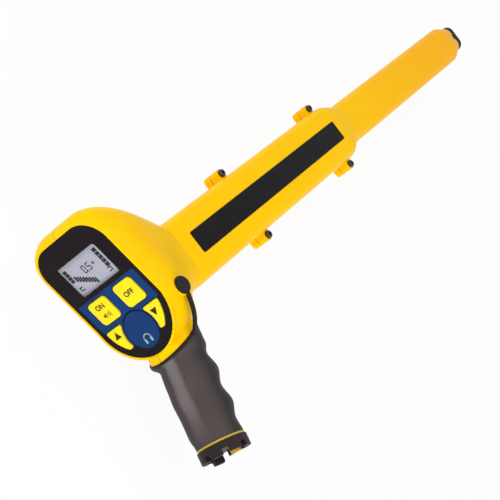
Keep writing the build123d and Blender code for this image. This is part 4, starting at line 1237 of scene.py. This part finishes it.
@dataclass
class Studio:
    """Floor, light and camera. Lengths in metres, the focal length and picture in pixels."""

    place: Vector = field(default_factory=lambda: Vector((-0.9827, 0.0157, 0.6061)))
    view: Vector = field(default_factory=lambda: Vector((0.791, -0.0446, -0.6101)))
    down: Vector = field(default_factory=lambda: Vector((-0.3994, -0.793, -0.460)))
    target: Vector = field(default_factory=lambda: Vector((-0.12, 0.0, 0.0)))
    focal: float = 1370.0
    picture: float = 500.0
    sensor: float = 36.0
    near: float = 0.05
    far: float = 50.0
    floor_size: float = 12.0
    floor_gap: float = 0.0006
    floor_colour: Colour = (0.9, 0.9, 0.9)
    floor_white: float = 0.93
    white: Colour = (1.0, 1.0, 1.0)
    surround: float = 0.35

    def build(self) -> None:
        """Builds the floor, the world, the lamps and the camera."""
        self.build_floor()
        self.build_world()
        self.build_lamps()
        self.build_camera()

    def white_seen(self, graph: Graph) -> Socket:
        """Finds the rays that see a plain white ground: camera, glossy and transmission rays.

        Args:
            graph: Graph of the floor or the world.

        Returns:
            The share, 1 for such a ray and 0 for others.
        """
        path = graph.add("ShaderNodeLightPath").outputs
        seen = graph.math("ADD", path["Is Camera Ray"], path["Is Glossy Ray"])
        return graph.math("MINIMUM", graph.math("ADD", seen, path["Is Transmission Ray"]), 1.0)

    def build_floor(self) -> None:
        """Lays a pale floor under the lowest point."""
        low = min(corner[2] for corner in CAD_BOX) - self.floor_gap
        bpy.ops.object.select_all(action="DESELECT")
        bpy.ops.mesh.primitive_plane_add(size=self.floor_size, location=(0, 0, low))
        floor = bpy.context.object
        floor.name = "floor"
        material = bpy.data.materials.new("floor_white")
        material.use_nodes = True
        graph = Graph(material.node_tree)
        matt = graph.add("ShaderNodeBsdfDiffuse", {"Color": self.floor_colour})
        glow = graph.add("ShaderNodeEmission", {"Color": self.white, "Strength": 1.0})
        share = graph.math("MULTIPLY", self.white_seen(graph), self.floor_white)
        mix = graph.add("ShaderNodeMixShader", {0: share, 1: matt.outputs[0], 2: glow.outputs[0]})
        graph.add("ShaderNodeOutputMaterial", {"Surface": mix.outputs[0]})
        floor.data.materials.append(material)

    def build_world(self) -> None:
        """Sets an even pale surround that looks white to the camera."""
        world = bpy.data.worlds.new("surround")
        bpy.context.scene.world = world
        world.use_nodes = True
        graph = Graph(world.node_tree)
        strength = graph.math("MULTIPLY_ADD", self.white_seen(graph), 1 - self.surround, self.surround)
        back = graph.add("ShaderNodeBackground", {"Color": self.white, "Strength": strength})
        graph.add("ShaderNodeOutputWorld", {"Surface": back.outputs[0]})

    def lamp(self, name: str, away: Vector, size: float, power: float) -> None:
        """Adds one soft square lamp aimed at the target.

        Args:
            name: Name of the lamp.
            away: Its place from the target.
            size: Length of its side.
            power: Its power, in watts.
        """
        data = bpy.data.lights.new(name, "AREA")
        data.shape = "SQUARE"
        data.size = size
        data.energy = power
        lamp = bpy.data.objects.new(name, data)
        bpy.context.scene.collection.objects.link(lamp)
        lamp.location = self.target + away
        lamp.rotation_mode = "QUATERNION"
        lamp.rotation_quaternion = (-away).to_track_quat("-Z", "Y")

    def build_lamps(self) -> None:
        """Adds a key lamp over the camera's left shoulder, a fill low on its right and a top lamp."""
        back, down = -self.view, self.down
        right = self.view.cross(-self.down)
        self.lamp("key_lamp", back * 1.3 - right * 0.7 - down, size=1.2, power=16.3)
        self.lamp("fill_lamp", back * 1.1 + right * 0.6 + down * 1.25, size=1.4, power=23.4)
        self.lamp("top_lamp", Vector((0.35, 0.1, 1.6)), size=1.4, power=9.2)

    def build_camera(self) -> None:
        """Sets the camera at the photograph's place and angle."""
        data = bpy.data.cameras.new("camera")
        data.sensor_width = self.sensor
        data.lens = self.focal / self.picture * self.sensor
        data.clip_start, data.clip_end = self.near, self.far
        camera = bpy.data.objects.new("camera", data)
        bpy.context.scene.collection.objects.link(camera)
        back = -self.view.normalized()
        up = (-self.down - back * (-self.down).dot(back)).normalized()
        turn = Matrix((up.cross(back), up, back)).transposed().to_4x4()
        camera.matrix_world = Matrix.Translation(self.place) @ turn
        bpy.context.scene.camera = camera


def main() -> None:
    """Builds and dresses the locator, then the studio."""
    bpy.context.scene.view_settings.view_transform = "Standard"
    palette = Palette(Effects())
    palette.dress_nodes()
    maker = Maker(palette)
    Display(maker).build()
    KeyPrint(maker).build()
    DiscPrint(maker).build()
    PlugStrap(maker).build()
    Studio().build()


if __name__ == "__main__":
    main()
